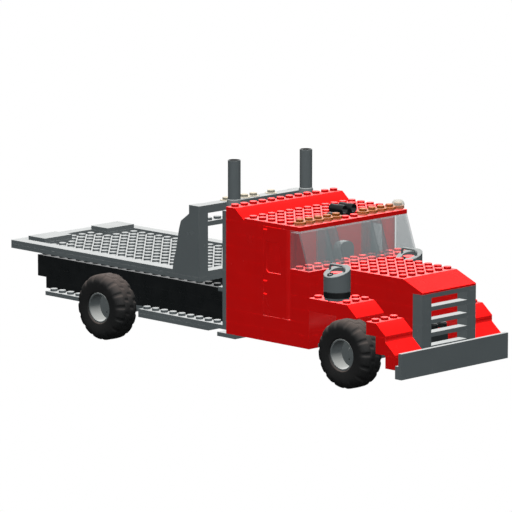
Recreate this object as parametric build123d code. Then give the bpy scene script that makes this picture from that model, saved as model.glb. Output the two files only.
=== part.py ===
from build123d import *
import os
from math import sqrt

# A flatbed truck built from studded toy bricks.
# Plan positions are in studs: "back" runs from the grille face to the tail and "y" runs from
# the middle of the truck to its left side. Heights are in plates above the bottom of the cab.
# Every shape is made in millimetres from them, with +X forward, +Y left and +Z up.

# ---- the lattice -------------------------------------------------------------------------
STUD = 8.0               # pitch of the studs, mm
PLATE = 8.0 / 3.0        # height of one plate, mm: three plates make a brick
KNOB_DIA = 4.8           # one stud on top of a brick, mm
KNOB_HIGH = 1.7
SLOPE_LIP = 0.5          # upright edge below each slope, plates
SLOPE_DROP = 2.5         # what a slope falls, plates

# ---- overall plan, studs -----------------------------------------------------------------
HALF = 6.0               # half width of the cab and of the bed
HOOD_HALF = 3.0          # half width of the hood
WALL = 1.0               # brick walls are one stud thick
GRILLE_DEEP = 1.0
SLAT_DEEP = 0.8            # the tiles across the grille
NOSE_DEEP = 2.0
CAB_FRONT = 9.0          # the front face of the cab, behind the grille face
GLASS_DEEP = 2.0
CAB_LONG = 9.0
SLEEPER_LONG = 2.0
ROOF_OVER = 1.0          # how far the roof covers the windscreen
BACK_PANEL = 0.4
BED_GAP = 3.0            # from the cab to the bed
BED_LONG = 22.0

# ---- heights, plates above the bottom of the cab -----------------------------------------
HOOD_TOP = 18.0
CAB_TOP = 27.0
SLEEPER_HIGH = 3.0       # the sleeper top above the cab walls
PANEL_TOP = 29.0
BEAM_TOP = 9.0           # the black side beams of the chassis
DECK = 11.0              # underside of the bed
RAIL_HIGH = 1.0
BLOCK_HIGH = 2.0

# ---- wheels, mm --------------------------------------------------------------------------
TYRE_RADIUS = 21.3
TYRE_WIDE = 17.0
TYRE_BORE = 9.8          # radius of the seat on the rim
TYRE_CROWN = 5.0         # radius of the tyre's shoulders
RIM_INSET = 1.2          # the rim's edge behind the tyre's outer face
RIM_SHELL = 1.1
RIM_DISH = 9.0           # how deep the flat back of the dish lies
RIM_BACK = 2.6
PIN_RADIUS = 2.4
PIN_CLEAR = 0.08         # round the pin, on the radius
REAR_AXLE = 32.0
AXLE_BLOCK = 2.0         # length of an axle block, studs
AXLE_HALF = 4.0          # half width of an axle block, studs
WHEEL_GAP = 4.0          # from the axle block to the tyre, mm
AXLE_HIGH = 1.6          # the axle above the bottom of the cab, mm
ARCH_GAP = 1.1           # from the top of the tyre to the fender over it, mm
ARCH_CORNER = 0.7        # from the tyre to the fender's corner in front of it, mm
MID_BACK = 3.0           # where that corner is, studs
# The outer face of the tyres from the middle, and the floor to the bottom of the cab, mm.
WHEEL_OUT = STUD * AXLE_HALF + WHEEL_GAP + TYRE_WIDE
RIDE = TYRE_RADIUS - AXLE_HIGH
# The underside of the fender over the wheel, plates, and the front axle, studs.
ARCH_TOP = (TYRE_RADIUS + AXLE_HIGH + ARCH_GAP) / PLATE
ARCH_DROP = TYRE_RADIUS + ARCH_GAP - 3 * PLATE
FRONT_AXLE = MID_BACK + sqrt((TYRE_RADIUS + ARCH_CORNER) ** 2 - ARCH_DROP ** 2) / STUD

# ---- doors -------------------------------------------------------------------------------
DOOR_LONG = 2.9          # studs
DOOR_SILL = 6.0          # plates
DOOR_FIT = 0.25          # gap round the door, mm
HINGE_RADIUS = 3.8       # the rounded front edge of the door, mm
HINGE_PIN = 1.5          # mm
HINGE_PIN_LONG = 1.5
HINGE_CLEAR = 0.06
WINDOW_SILL = 16.3       # plates
WINDOW_HEAD = 23.5

# ---- the rest ----------------------------------------------------------------------------
GLASS = 1.4              # thickness of the windscreen, mm
BUMPER_LAYER = PLATE     # the bumper is made of two plates on edge, mm
BUMPER_LOW = -3.0        # plates
BUMPER_MID = 0.0
BUMPER_TOP = 3.0
CANISTER_RADIUS = 8.3    # mm
STACK_RADIUS = 4.0
STACK_COLLAR = 5.2
STACK_BORE = 2.6
STACK_TOP = 40.0         # plates
COLLAR_TOP = 30.8
COLLAR_LOW = 27.0
LENS_RADIUS = 3.9        # the one-stud round lamps, mm
LAMP_HIGH = 0.25         # those on the headboard, plates

DOOR_FRONT = CAB_FRONT + GLASS_DEEP
CAB_BACK = CAB_FRONT + CAB_LONG
PANEL_BACK = CAB_BACK + BACK_PANEL
BED_FRONT = CAB_BACK + BED_GAP
BED_BACK = BED_FRONT + BED_LONG
ROOF_FRONT = DOOR_FRONT - ROOF_OVER
ROOF_BACK = CAB_BACK - SLEEPER_LONG
# The middle of the whole length lies over the origin.
GRILLE_X = (STUD * BED_BACK - 2 * BUMPER_LAYER) / 2


def px(back):
    return GRILLE_X - STUD * back


def pz(level):
    return RIDE + PLATE * level


def brick(back0, back1, y0, y1, low, top):
    """A plain block between two places along, across and up."""
    size = (STUD * abs(back1 - back0), STUD * abs(y1 - y0), PLATE * (top - low))
    spot = (px((back0 + back1) / 2), STUD * (y0 + y1) / 2, pz((low + top) / 2))
    return Pos(*spot) * Box(*size)


def slab(outline, y0, y1):
    """A side outline of (back, level) points, carried across from y0 to y1."""
    points = [(px(back), pz(level)) for back, level in outline]
    face = make_face(Plane.XZ * Polyline(*points, close=True))
    low, high = min(y0, y1), max(y0, y1)
    # Plane.XZ looks along -Y, so the sheet is carried the other way from its high side.
    return Pos(0, STUD * high, 0) * extrude(face, STUD * (high - low), dir=(0, -1, 0))


def rod(back, y, low_z, high_z, radius):
    """An upright round bar; the heights are in mm."""
    return Pos(px(back), STUD * y, (low_z + high_z) / 2) * Cylinder(radius, high_z - low_z)


def cells(back0, back1, y0, y1):
    """The centres of the one-stud squares that fit between two places."""
    along, across = int(back1 - back0 + 1e-6), int(y1 - y0 + 1e-6)
    start = (back0 + back1 - along) / 2 + 0.5
    side = (y0 + y1 - across) / 2 + 0.5
    return [(start + i, side + j) for i in range(along) for j in range(across)]


def knobbed(body, spots, level, sunk=0.2):
    """The body with a stud on each spot of its top face."""
    high = KNOB_HIGH + sunk
    knobs = [
        Pos(px(back), STUD * y, pz(level) + KNOB_HIGH - high / 2) * Cylinder(KNOB_DIA / 2, high)
        for back, y in spots
    ]
    return body + knobs if knobs else body


def mirrored(solid):
    return mirror(solid, Plane.XZ)


parts = {}


def keep(node, *solids):
    flat = []
    for piece in solids:
        flat += list(piece.solids())
    parts[node] = flat


# ---- chassis -----------------------------------------------------------------------------
LEDGE = HALF - WALL                  # half width of the studded lower plates
BEAM_OUT = AXLE_HALF                 # the outer face of the side beams
BEAM_IN = BEAM_OUT - WALL
BASE_BACK = BED_BACK - 3.0
BAY = 3.0                            # the plates are narrower for this far round the rear axle
SKID_FRONT = BED_FRONT
SKID_BACK = REAR_AXLE - BAY
BLOCK_LOW, BLOCK_TOP = -1.2, 3.0
AXLE_Z = TYRE_RADIUS

rear_plate = brick(REAR_AXLE + AXLE_BLOCK / 2, REAR_AXLE + BAY, -AXLE_HALF, AXLE_HALF, 0, 1)
rear_plate += brick(REAR_AXLE + BAY, BASE_BACK, -LEDGE, LEDGE, 0, 1)
mid_plate = brick(REAR_AXLE - BAY, REAR_AXLE - AXLE_BLOCK / 2, -AXLE_HALF, AXLE_HALF, 0, 1)
mid_plate += brick(CAB_BACK, REAR_AXLE - BAY, -LEDGE, LEDGE, 0, 1)
mid_plate += brick(SKID_FRONT, SKID_BACK, -LEDGE, LEDGE, -1, 0)
for y0, y1 in ((BEAM_OUT, LEDGE), (-LEDGE, -BEAM_OUT)):
    rear_plate = knobbed(rear_plate, cells(REAR_AXLE + BAY, BASE_BACK, y0, y1), 1)
    mid_plate = knobbed(mid_plate, cells(PANEL_BACK + 0.6, REAR_AXLE - BAY, y0, y1), 1)
keep("base_plates", rear_plate, mid_plate)

keep("step_plate", brick(CAB_BACK - 1, CAB_BACK + 1, -HALF, HALF, -1, 0))

front_frame = brick(GRILLE_DEEP, FRONT_AXLE - AXLE_BLOCK / 2, -HOOD_HALF, HOOD_HALF, 0, 1)
rear_frame = brick(FRONT_AXLE + AXLE_BLOCK / 2, CAB_FRONT, -HOOD_HALF, HOOD_HALF, 0, 1)
keep("front_frame", front_frame, rear_frame)

TAIL_CUT = 3.7                       # the beams' last stud is cut up to here, plates
BEAM_BACK = BED_BACK - 1.0
beam_side = [
    (PANEL_BACK, 1), (PANEL_BACK, BEAM_TOP), (BEAM_BACK, BEAM_TOP), (BEAM_BACK, TAIL_CUT),
    (BEAM_BACK - 1, TAIL_CUT), (BEAM_BACK - 1, 1),
    (REAR_AXLE + AXLE_BLOCK / 2, 1), (REAR_AXLE + AXLE_BLOCK / 2, BLOCK_TOP),
    (REAR_AXLE - AXLE_BLOCK / 2, BLOCK_TOP), (REAR_AXLE - AXLE_BLOCK / 2, 1),
]
STACK_BACK = CAB_BACK + 1.1
STACK_Y = BEAM_OUT
for side, sign in (("left", 1), ("right", -1)):
    y0, y1 = sorted((sign * BEAM_IN, sign * BEAM_OUT))
    beam = slab(beam_side, y0, y1)
    beam = knobbed(beam, cells(STACK_BACK + 0.9, BEAM_BACK, y0, y1), BEAM_TOP)
    keep("side_beam_" + side, beam)

CARRIER_LOW = BLOCK_TOP
carriers, CARRIER_IN = [], BEAM_IN - WALL
for sign in (1, -1):
    y0, y1 = sorted((sign * CARRIER_IN, sign * BEAM_IN))
    carriers.append(brick(BED_FRONT, BEAM_BACK, y0, y1, CARRIER_LOW, DECK))
for back in (BED_FRONT, REAR_AXLE - AXLE_BLOCK / 2, BEAM_BACK - 1):
    carriers.append(brick(back, back + 1, -CARRIER_IN, CARRIER_IN, CARRIER_LOW, BEAM_TOP))
keep("bed_carriers", *carriers)

# ---- axles and wheels --------------------------------------------------------------------
DISH_Y = WHEEL_OUT - RIM_INSET - RIM_DISH     # the visible flat back of the rim
PIN_END = DISH_Y - 0.8
blocks = []
for axle in (FRONT_AXLE, REAR_AXLE):
    block = brick(axle - AXLE_BLOCK / 2, axle + AXLE_BLOCK / 2, -AXLE_HALF, AXLE_HALF,
                  BLOCK_LOW, BLOCK_TOP)
    pin = Pos(px(axle), 0, AXLE_Z) * Rot(90, 0, 0) * Cylinder(PIN_RADIUS, 2 * PIN_END)
    collar = Pos(px(axle), 0, AXLE_Z) * Rot(90, 0, 0) * Cylinder(
        PIN_RADIUS + 1.6, 2 * (DISH_Y - RIM_BACK - 0.3))
    blocks.append(block + collar + pin)
keep("axle_front", blocks[0])
keep("axle_rear", blocks[1])

RIM_OUT = WHEEL_OUT - RIM_INSET
RIM_IN = WHEEL_OUT - TYRE_WIDE + RIM_INSET
rim_half = [
    (RIM_IN, TYRE_BORE), (RIM_OUT, TYRE_BORE), (RIM_OUT, TYRE_BORE - RIM_SHELL),
    (DISH_Y, TYRE_BORE - RIM_SHELL - 0.5), (DISH_Y, PIN_RADIUS + PIN_CLEAR),
    (DISH_Y - RIM_BACK, PIN_RADIUS + PIN_CLEAR), (DISH_Y - RIM_BACK, TYRE_BORE - RIM_SHELL),
    (RIM_IN, TYRE_BORE - RIM_SHELL),
]
for axle_name, axle in (("front", FRONT_AXLE), ("rear", REAR_AXLE)):
    for side, sign in (("left", 1), ("right", -1)):
        # The wheel is turned about the Y axis, with its outer face towards +Y.
        face = make_face(Plane.XY * Polyline(*[(r, y) for y, r in rim_half], close=True))
        rim = revolve(face, Axis.Y)
        shell = Plane.XY * Rectangle(
            TYRE_RADIUS - TYRE_BORE, TYRE_WIDE, align=(Align.MIN, Align.MIN))
        shell = Pos(TYRE_BORE, WHEEL_OUT - TYRE_WIDE, 0) * shell
        outer = [v for v in shell.vertices() if v.X > TYRE_RADIUS - 0.1]
        tyre = revolve(fillet(outer, TYRE_CROWN), Axis.Y)
        rim, tyre = [Pos(px(axle), 0, AXLE_Z) * piece for piece in (rim, tyre)]
        if sign < 0:
            rim, tyre = mirrored(rim), mirrored(tyre)
        keep("rim_%s_%s" % (axle_name, side), rim)
        keep("tyre_%s_%s" % (axle_name, side), tyre)

# ---- bed ---------------------------------------------------------------------------------
FRAME_DEEP = 3.0                     # the headboard's posts run this far along the bed
BLOCK_IN, BLOCK_OUT = 2.0, 5.0
BLOCK_LONG = 2.0
rail_in = HALF - WALL
block_front = BED_BACK - 1 - BLOCK_LONG
deck = brick(BED_FRONT, BED_BACK, -HALF, HALF, DECK, DECK + 1)
spots = cells(BED_FRONT + 1, block_front, -rail_in, rail_in)
spots += cells(block_front, BED_BACK - 1, -BLOCK_IN, BLOCK_IN)
keep("bed_deck", knobbed(deck, spots, DECK + 1))

rail_low, rail_top = DECK + 1, DECK + 1 + RAIL_HIGH
keep(
    "bed_rails",
    brick(BED_FRONT + FRAME_DEEP, BED_BACK, rail_in, HALF, rail_low, rail_top),
    brick(BED_FRONT + FRAME_DEEP, BED_BACK, -HALF, -rail_in, rail_low, rail_top),
    brick(BED_BACK - 1, BED_BACK, -rail_in, rail_in, rail_low, rail_top),
)
keep(
    "bed_blocks",
    brick(block_front, BED_BACK - 1, BLOCK_IN, BLOCK_OUT, rail_low, rail_low + BLOCK_HIGH),
    brick(block_front, BED_BACK - 1, -BLOCK_OUT, -BLOCK_IN, rail_low, rail_low + BLOCK_HIGH),
)

HEAD_TOP = PANEL_TOP
HEAD_NECK = 24.9                     # plates, where the post's edge turns in
f = BED_FRONT + FRAME_DEEP
post_side = [
    (BED_FRONT, rail_low), (BED_FRONT, HEAD_TOP), (BED_FRONT + 1.12, HEAD_TOP),
    (BED_FRONT + 1.12, HEAD_NECK + 2.0), (BED_FRONT + 2.04, HEAD_NECK), (BED_FRONT + 2.15, 23.9),
    (BED_FRONT + 2.27, 22.7), (BED_FRONT + 2.4, 20.7), (BED_FRONT + 2.6, 17.75),
    (BED_FRONT + 2.86, 15.3), (f, rail_top), (f, rail_low),
]
keep("headboard_posts", slab(post_side, rail_in, HALF), slab(post_side, -HALF, -rail_in))

TOP_BAR_LOW = 27.1
MID_LOW, MID_TOP = 24.0, 25.75
SILL_TOP = 13.3
mid_bar = brick(BED_FRONT, BED_FRONT + 1, -rail_in, rail_in, MID_LOW, MID_TOP - KNOB_HIGH / PLATE)
mid_bar = knobbed(mid_bar, cells(BED_FRONT, BED_FRONT + 1, -rail_in, rail_in),
                  MID_TOP - KNOB_HIGH / PLATE)
keep(
    "headboard_bars",
    brick(BED_FRONT, BED_FRONT + 1, -rail_in, rail_in, TOP_BAR_LOW, HEAD_TOP),
    mid_bar,
    brick(BED_FRONT, BED_FRONT + 1, -rail_in, rail_in, rail_low, SILL_TOP),
)


def lens(back, y, low, high=1.0):
    """A one-stud round lamp with a stud on top."""
    disc = rod(back, y, pz(low), pz(low + high), LENS_RADIUS)
    return knobbed(disc, [(back, y)], low + high)


lamp_sides = (-2.5, -0.5, 0.5, 2.5)
keep("headboard_lamps", *[lens(BED_FRONT + 0.5, y, HEAD_TOP, LAMP_HIGH) for y in lamp_sides])

# ---- cab shell ---------------------------------------------------------------------------
inner = HALF - WALL
DOOR_BACK = DOOR_FRONT + DOOR_LONG
fit_studs, fit_plates = DOOR_FIT / STUD, DOOR_FIT / PLATE
keep("cab_back_panel", brick(CAB_BACK, PANEL_BACK, -HALF, HALF, 1, PANEL_TOP))
keep("cab_floor", brick(CAB_FRONT, CAB_BACK, -inner, inner, 0, 1))
keep(
    "cab_walls",
    brick(CAB_BACK - WALL, CAB_BACK, -inner, inner, 1, CAB_TOP),
    brick(CAB_FRONT, CAB_FRONT + WALL, -inner, inner, 1, HOOD_TOP - 1),
)
cowl = brick(CAB_FRONT, DOOR_FRONT, -HALF, HALF, HOOD_TOP - 1, HOOD_TOP)
keep("cowl", knobbed(cowl, cells(CAB_FRONT, DOOR_FRONT, -HALF, HALF), HOOD_TOP))

pivot_back = DOOR_FRONT + (HINGE_RADIUS + DOOR_FIT) / STUD
pivot_y = HALF - (HINGE_RADIUS + DOOR_FIT / 2) / STUD
door_low, door_top = DOOR_SILL + fit_plates, CAB_TOP - fit_plates
pin_hole = HINGE_PIN + HINGE_CLEAR
for side, sign in (("left", 1), ("right", -1)):
    y0, y1 = inner, HALF
    rear = brick(DOOR_BACK + 2 * fit_studs, CAB_BACK, y0, y1, 0, CAB_TOP)
    sill = brick(DOOR_FRONT, DOOR_BACK + 2 * fit_studs, y0, y1, 0, DOOR_SILL)
    sill -= rod(pivot_back, pivot_y, pz(DOOR_SILL) - HINGE_PIN_LONG - 0.3,
                pz(DOOR_SILL) + 1, pin_hole)
    front = brick(CAB_FRONT, DOOR_FRONT, y0, y1, 0, HOOD_TOP - 1)
    shell = [rear, sill, front]
    if sign < 0:
        shell = [mirrored(piece) for piece in shell]
    keep("cab_side_" + side, *shell)

    # The leaf runs back from the rounded front edge, flush with the cab's side.
    column = rod(pivot_back, pivot_y, pz(door_low), pz(door_top), HINGE_RADIUS)
    leaf_out = pivot_y + HINGE_RADIUS / STUD
    leaf = brick(pivot_back, DOOR_BACK, pivot_y, leaf_out, door_low, door_top)
    column += rod(pivot_back, pivot_y, pz(door_low) - HINGE_PIN_LONG,
                  pz(door_top) + HINGE_PIN_LONG, HINGE_PIN)
    win_back = DOOR_BACK - 0.3
    win_front = pivot_back + HINGE_RADIUS / STUD + 0.06
    opening = slab(
        [(win_front, WINDOW_SILL), (win_back, WINDOW_SILL), (win_back, WINDOW_HEAD),
         (win_front + 0.25, WINDOW_HEAD)], pivot_y - 1, leaf_out + 1)
    corner = [
        e for e in opening.edges().filter_by(Axis.Y)
        if e.center().Z < pz(WINDOW_SILL) + 1 and e.center().X < px(win_back) + 1
    ]
    leaf = column + (leaf - fillet(corner, 2.4))
    keep("door_" + side, leaf if sign > 0 else mirrored(leaf))

# ---- roof --------------------------------------------------------------------------------
HORN_HALF = 1.0
HORN_BACK = ROOF_FRONT + 2.0
roof = brick(ROOF_FRONT, ROOF_BACK, -HALF, HALF, CAB_TOP, CAB_TOP + 1)
for y in (pivot_y, -pivot_y):
    roof -= rod(pivot_back, y, pz(CAB_TOP) - 1, pz(CAB_TOP) + HINGE_PIN_LONG + 0.3, pin_hole)
roof_spots = cells(ROOF_FRONT + 1, ROOF_BACK, -HALF, HALF)
roof_spots = [
    (back, y) for back, y in roof_spots if not (abs(y) < HORN_HALF and back < HORN_BACK)
]
roof_spots += cells(ROOF_FRONT, ROOF_FRONT + 1, -HORN_HALF, HORN_HALF)
roof = knobbed(roof, roof_spots, CAB_TOP + 1)
keep("roof_plate", roof)

sleeper_side = [
    (CAB_BACK, CAB_TOP), (CAB_BACK, CAB_TOP + SLEEPER_HIGH),
    (ROOF_BACK + 1, CAB_TOP + SLEEPER_HIGH), (ROOF_BACK, CAB_TOP + SLOPE_LIP), (ROOF_BACK, CAB_TOP),
]
sleeper = slab(sleeper_side, -HALF, HALF)
sleeper = knobbed(
    sleeper, cells(ROOF_BACK + 1, CAB_BACK, -HALF, HALF), CAB_TOP + SLEEPER_HIGH)
keep("sleeper_top", sleeper)

lights = []
for y in (1.5, 2.5, 3.5, 4.5, 5.5):
    lights += [lens(ROOF_FRONT + 0.5, sign * y, CAB_TOP + 1) for sign in (1, -1)]
keep("roof_markers", *lights)

# The clear dome stands over the last marker of the left side.
dome_low = pz(CAB_TOP + 2)
DOME_RADIUS, DOME_HIGH = 4.1, 3.2    # mm
dome_y = HALF - 0.5
dome = Pos(px(ROOF_FRONT + 0.5), STUD * dome_y, dome_low) * Sphere(DOME_RADIUS)
dome &= Pos(px(ROOF_FRONT + 0.5), STUD * dome_y, dome_low + DOME_HIGH / 2) * Box(
    4 * DOME_RADIUS, 4 * DOME_RADIUS, DOME_HIGH)
dome -= rod(ROOF_FRONT + 0.5, dome_y, dome_low - 1, dome_low + KNOB_HIGH + 0.1,
            KNOB_DIA / 2 + 0.1)
keep("roof_dome", dome)

# Two horns point forward from a two-stud base plate.
HORN_RADIUS = 2.9
HORN_BORE = 2.1
horn_base = brick(ROOF_FRONT + 1, HORN_BACK, -HORN_HALF, HORN_HALF, CAB_TOP + 1, CAB_TOP + 2)
horn_z = pz(CAB_TOP + 2) + HORN_RADIUS - 0.3
horn_long = STUD * (HORN_BACK - ROOF_FRONT - 0.5)
for y in (0.5, -0.5):
    spot = Pos(px(HORN_BACK) + horn_long / 2, STUD * y, horn_z) * Rot(0, 90, 0)
    tube = spot * Cylinder(HORN_RADIUS, horn_long)
    tube -= spot * Pos(0, 0, horn_long / 2) * Cylinder(HORN_BORE, 9.0)
    horn_base += tube
keep("roof_horn", horn_base)

# ---- windscreen --------------------------------------------------------------------------
glass_splits = [(-6, -3), (-3, -2), (-2, 2), (2, 3), (3, 6)]
g = GLASS / STUD
BASE_HIGH = 0.65                     # the upright foot of the glass, plates
outer_side = [
    (CAB_FRONT, HOOD_TOP), (CAB_FRONT, HOOD_TOP + BASE_HIGH), (ROOF_FRONT, CAB_TOP),
    (DOOR_FRONT, CAB_TOP), (DOOR_FRONT, HOOD_TOP),
]
roof_skin = GLASS / PLATE
inner_side = [
    (CAB_FRONT + g, HOOD_TOP - 1), (CAB_FRONT + g, HOOD_TOP + BASE_HIGH),
    (ROOF_FRONT + g * 0.9, CAB_TOP - roof_skin), (DOOR_FRONT + 1, CAB_TOP - roof_skin),
    (DOOR_FRONT + 1, HOOD_TOP - 1),
]
seam = 0.04 / STUD
panes = []
for y0, y1 in glass_splits:
    pane = slab(outer_side, y0 + seam, y1 - seam)
    panes.append(pane - slab(inner_side, y0 + seam + g, y1 - seam - g))
keep("windscreen", *panes)

# ---- seat --------------------------------------------------------------------------------
SEAT_IN, SEAT_OUT = 2.7, 4.7
SEAT_BACK, SEAT_FRONT = 15.0, 12.4
SEAT_HIGH, REST_HIGH = 8.0, 19.6     # plates
REST_DEEP, REST_INSET = 0.7, 0.17    # studs
REST_ROUND = 5.0                     # mm
rest = brick(
    SEAT_BACK - REST_DEEP, SEAT_BACK, SEAT_IN + REST_INSET, SEAT_OUT - REST_INSET,
    SEAT_HIGH - 1, REST_HIGH)
tops = [e for e in rest.edges().filter_by(Axis.X) if e.center().Z > pz(REST_HIGH) - 0.1]
rest = fillet(tops, REST_ROUND)
keep("seats", rest + brick(SEAT_FRONT, SEAT_BACK, SEAT_IN, SEAT_OUT, 1, SEAT_HIGH))

# ---- hood --------------------------------------------------------------------------------
NOSE_LOW = HOOD_TOP - SLOPE_DROP - SLOPE_LIP
hood = brick(NOSE_DEEP, CAB_FRONT, -HOOD_HALF, HOOD_HALF, HOOD_TOP - 1, HOOD_TOP)
keep("hood_top", knobbed(hood, cells(NOSE_DEEP, CAB_FRONT, -HOOD_HALF, HOOD_HALF), HOOD_TOP))
nose_side = [
    (0, NOSE_LOW), (0, NOSE_LOW + SLOPE_LIP), (NOSE_DEEP, HOOD_TOP), (NOSE_DEEP, NOSE_LOW),
]
keep("hood_nose", slab(nose_side, -HOOD_HALF, HOOD_HALF))
hood_side = [
    (GRILLE_DEEP, 1), (GRILLE_DEEP, NOSE_LOW), (NOSE_DEEP, NOSE_LOW), (NOSE_DEEP, HOOD_TOP - 1),
    (CAB_FRONT, HOOD_TOP - 1), (CAB_FRONT, 1), (FRONT_AXLE + AXLE_BLOCK / 2, 1),
    (FRONT_AXLE + AXLE_BLOCK / 2, BLOCK_TOP), (FRONT_AXLE - AXLE_BLOCK / 2, BLOCK_TOP),
    (FRONT_AXLE - AXLE_BLOCK / 2, 1),
]
keep(
    "hood_sides",
    slab(hood_side, HOOD_HALF - WALL, HOOD_HALF),
    slab(hood_side, -HOOD_HALF, WALL - HOOD_HALF),
)

# ---- fenders -----------------------------------------------------------------------------
UPPER_LIP = MID_BACK + 1.0           # the upper block's front edge, studs
upper_side = [
    (CAB_FRONT, ARCH_TOP), (CAB_FRONT, ARCH_TOP + 3), (UPPER_LIP + 1, ARCH_TOP + 3),
    (UPPER_LIP, ARCH_TOP + SLOPE_LIP), (UPPER_LIP, ARCH_TOP),
]
lower_side = [
    (MID_BACK, ARCH_TOP - 3), (MID_BACK, ARCH_TOP), (MID_BACK - 1, ARCH_TOP),
    (MID_BACK - 2, ARCH_TOP - SLOPE_DROP), (MID_BACK - 2, ARCH_TOP - 4),
    (MID_BACK - 3, ARCH_TOP - 4 - SLOPE_DROP), (MID_BACK - 3, -1), (MID_BACK - 2, -1),
    (MID_BACK - 2, 2), (MID_BACK - 1, 2), (MID_BACK - 1, ARCH_TOP - 3),
]
can_gap = CANISTER_RADIUS / STUD + 0.0125
can_at = {"left": (CAB_FRONT - can_gap, HOOD_HALF + can_gap), "right": (CAB_FRONT - 2.0, HALF - 1.0)}
can_reach = (CANISTER_RADIUS + KNOB_DIA / 2) / STUD
for side, sign in (("left", 1), ("right", -1)):
    can_back, can_y = can_at[side]
    upper = slab(upper_side, HOOD_HALF, HALF)
    spots = [
        (back, y) for back, y in cells(UPPER_LIP + 1, CAB_FRONT, HOOD_HALF, HALF)
        if sqrt((back - can_back) ** 2 + (y - can_y) ** 2) > can_reach + 0.02
    ]
    upper = knobbed(upper, spots, ARCH_TOP + 3)
    lower = slab(lower_side, HOOD_HALF, HALF)
    lower = knobbed(lower, cells(MID_BACK - 1, MID_BACK, HOOD_HALF, HALF), ARCH_TOP)
    pieces = [upper, lower] if sign > 0 else [mirrored(upper), mirrored(lower)]
    keep("fender_" + side, *pieces)

# ---- canisters on the fenders ------------------------------------------------------------
CAN_FOOT, CAN_BAND, CAN_TOP = 0.7, 2.1, 6.75     # plates above the fender
CAN_SLANT = 19.0                                  # degrees, the top falls towards -Y
PIT_RADIUS = 4.4
PIT_DEEP = 2.6
BAIL_RADIUS = 0.75                                # mm
BAIL_HALF = 6.0
BAIL_HIGH = 3.4
foot_z = pz(ARCH_TOP + 3)
band_z, drum_z, top_z = [foot_z + PLATE * high for high in (CAN_FOOT, CAN_BAND, CAN_TOP)]
foot = Pos(0, 0, (foot_z + band_z) / 2) * Cylinder(CANISTER_RADIUS - 0.5, band_z - foot_z)
for turn in (0, 45, 90, 135):
    foot -= Pos(0, 0, foot_z) * Rot(0, 0, turn) * Box(2.2, 2 * CANISTER_RADIUS + 2, PLATE * 0.6)
band = Pos(0, 0, (band_z + drum_z) / 2) * Cylinder(CANISTER_RADIUS, drum_z - band_z)
can_spare = CANISTER_RADIUS / 2      # the drum is cut from one taller by this
drum = Pos(0, 0, (drum_z + top_z + can_spare) / 2) * Cylinder(
    CANISTER_RADIUS, top_z + can_spare - drum_z)
can_cut = 4 * CANISTER_RADIUS
drum -= Pos(0, 0, top_z) * Rot(CAN_SLANT, 0, 0) * Pos(0, 0, can_cut / 2) * Box(
    can_cut, can_cut, can_cut)
drum -= Pos(0, 0, top_z) * Cylinder(PIT_RADIUS, 2 * PIT_DEEP)
bail_path = Pos(0, 0, top_z) * FilletPolyline(
    (-BAIL_HALF, 0, -1.5), (-BAIL_HALF, 0, BAIL_HIGH - 1.6), (1.6 - BAIL_HALF, 0, BAIL_HIGH),
    (BAIL_HALF - 1.6, 0, BAIL_HIGH), (BAIL_HALF, 0, BAIL_HIGH - 1.6), (BAIL_HALF, 0, -1.5),
    radius=1.0)
drum += sweep(Plane(bail_path @ 0, z_dir=bail_path % 0) * Circle(BAIL_RADIUS), path=bail_path)
plug = Pos(0, 0, top_z - PIT_DEEP + 0.8) * Cylinder(PIT_RADIUS - 0.3, 1.6)
for node, piece in (("feet", foot), ("bands", band), ("drums", drum), ("plugs", plug)):
    pair = [Pos(px(can_at[side][0]), sign * STUD * can_at[side][1], 0) * piece
            for side, sign in (("left", 1), ("right", -1))]
    keep("canister_" + node, *pair)

# ---- grille ------------------------------------------------------------------------------
grille_in = HOOD_HALF - WALL
keep(
    "grille_frame",
    brick(0, GRILLE_DEEP, grille_in, HOOD_HALF, -1, NOSE_LOW),
    brick(0, GRILLE_DEEP, -HOOD_HALF, -grille_in, -1, NOSE_LOW),
    brick(0, GRILLE_DEEP, -grille_in, grille_in, NOSE_LOW - 1, NOSE_LOW),
)
keep(
    "grille_slats",
    *[brick(0, SLAT_DEEP, -grille_in, grille_in, low, low + 1) for low in (2, 5, 8, 11)],
)

# ---- engine ------------------------------------------------------------------------------
ENGINE_FRONT, ENGINE_BACK = FRONT_AXLE - AXLE_BLOCK / 2 - 1.5, FRONT_AXLE + 2.0
engine = brick(ENGINE_FRONT, ENGINE_BACK, -1.5, 1.5, BLOCK_TOP, 6)
engine += brick(ENGINE_FRONT, FRONT_AXLE - AXLE_BLOCK / 2, -1.0, 1.0, 1, BLOCK_TOP)
keep("engine_block", engine)
heads = []
for y in (0.5, -0.5):
    for back in (ENGINE_FRONT + 0.5, ENGINE_FRONT + 1.5, ENGINE_FRONT + 2.5):
        heads.append(rod(back, y, pz(6), pz(8), KNOB_DIA / 2 + 1.0))
keep("engine_heads", *heads)

# ---- exhaust stacks ----------------------------------------------------------------------
for side, sign in (("left", 1), ("right", -1)):
    foot = brick(PANEL_BACK + 0.05, PANEL_BACK + 1.5, BEAM_IN, LEDGE, BEAM_TOP, BEAM_TOP + 1)
    pipe = rod(STACK_BACK, STACK_Y, pz(BEAM_TOP + 1), pz(STACK_TOP), STACK_RADIUS)
    pipe += rod(STACK_BACK, STACK_Y, pz(COLLAR_LOW), pz(COLLAR_TOP), STACK_COLLAR)
    pipe -= rod(STACK_BACK, STACK_Y, pz(COLLAR_TOP), pz(STACK_TOP) + 1, STACK_BORE)
    stack = foot + pipe
    keep("stack_" + side, stack if sign > 0 else mirrored(stack))

# ---- bumper ------------------------------------------------------------------------------
layer = BUMPER_LAYER / STUD
keep(
    "bumper",
    brick(-layer, -2 * layer, -HALF, HALF, BUMPER_LOW, BUMPER_TOP),
    brick(0, -layer, -HALF, HALF, BUMPER_LOW, BUMPER_MID),
)

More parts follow.
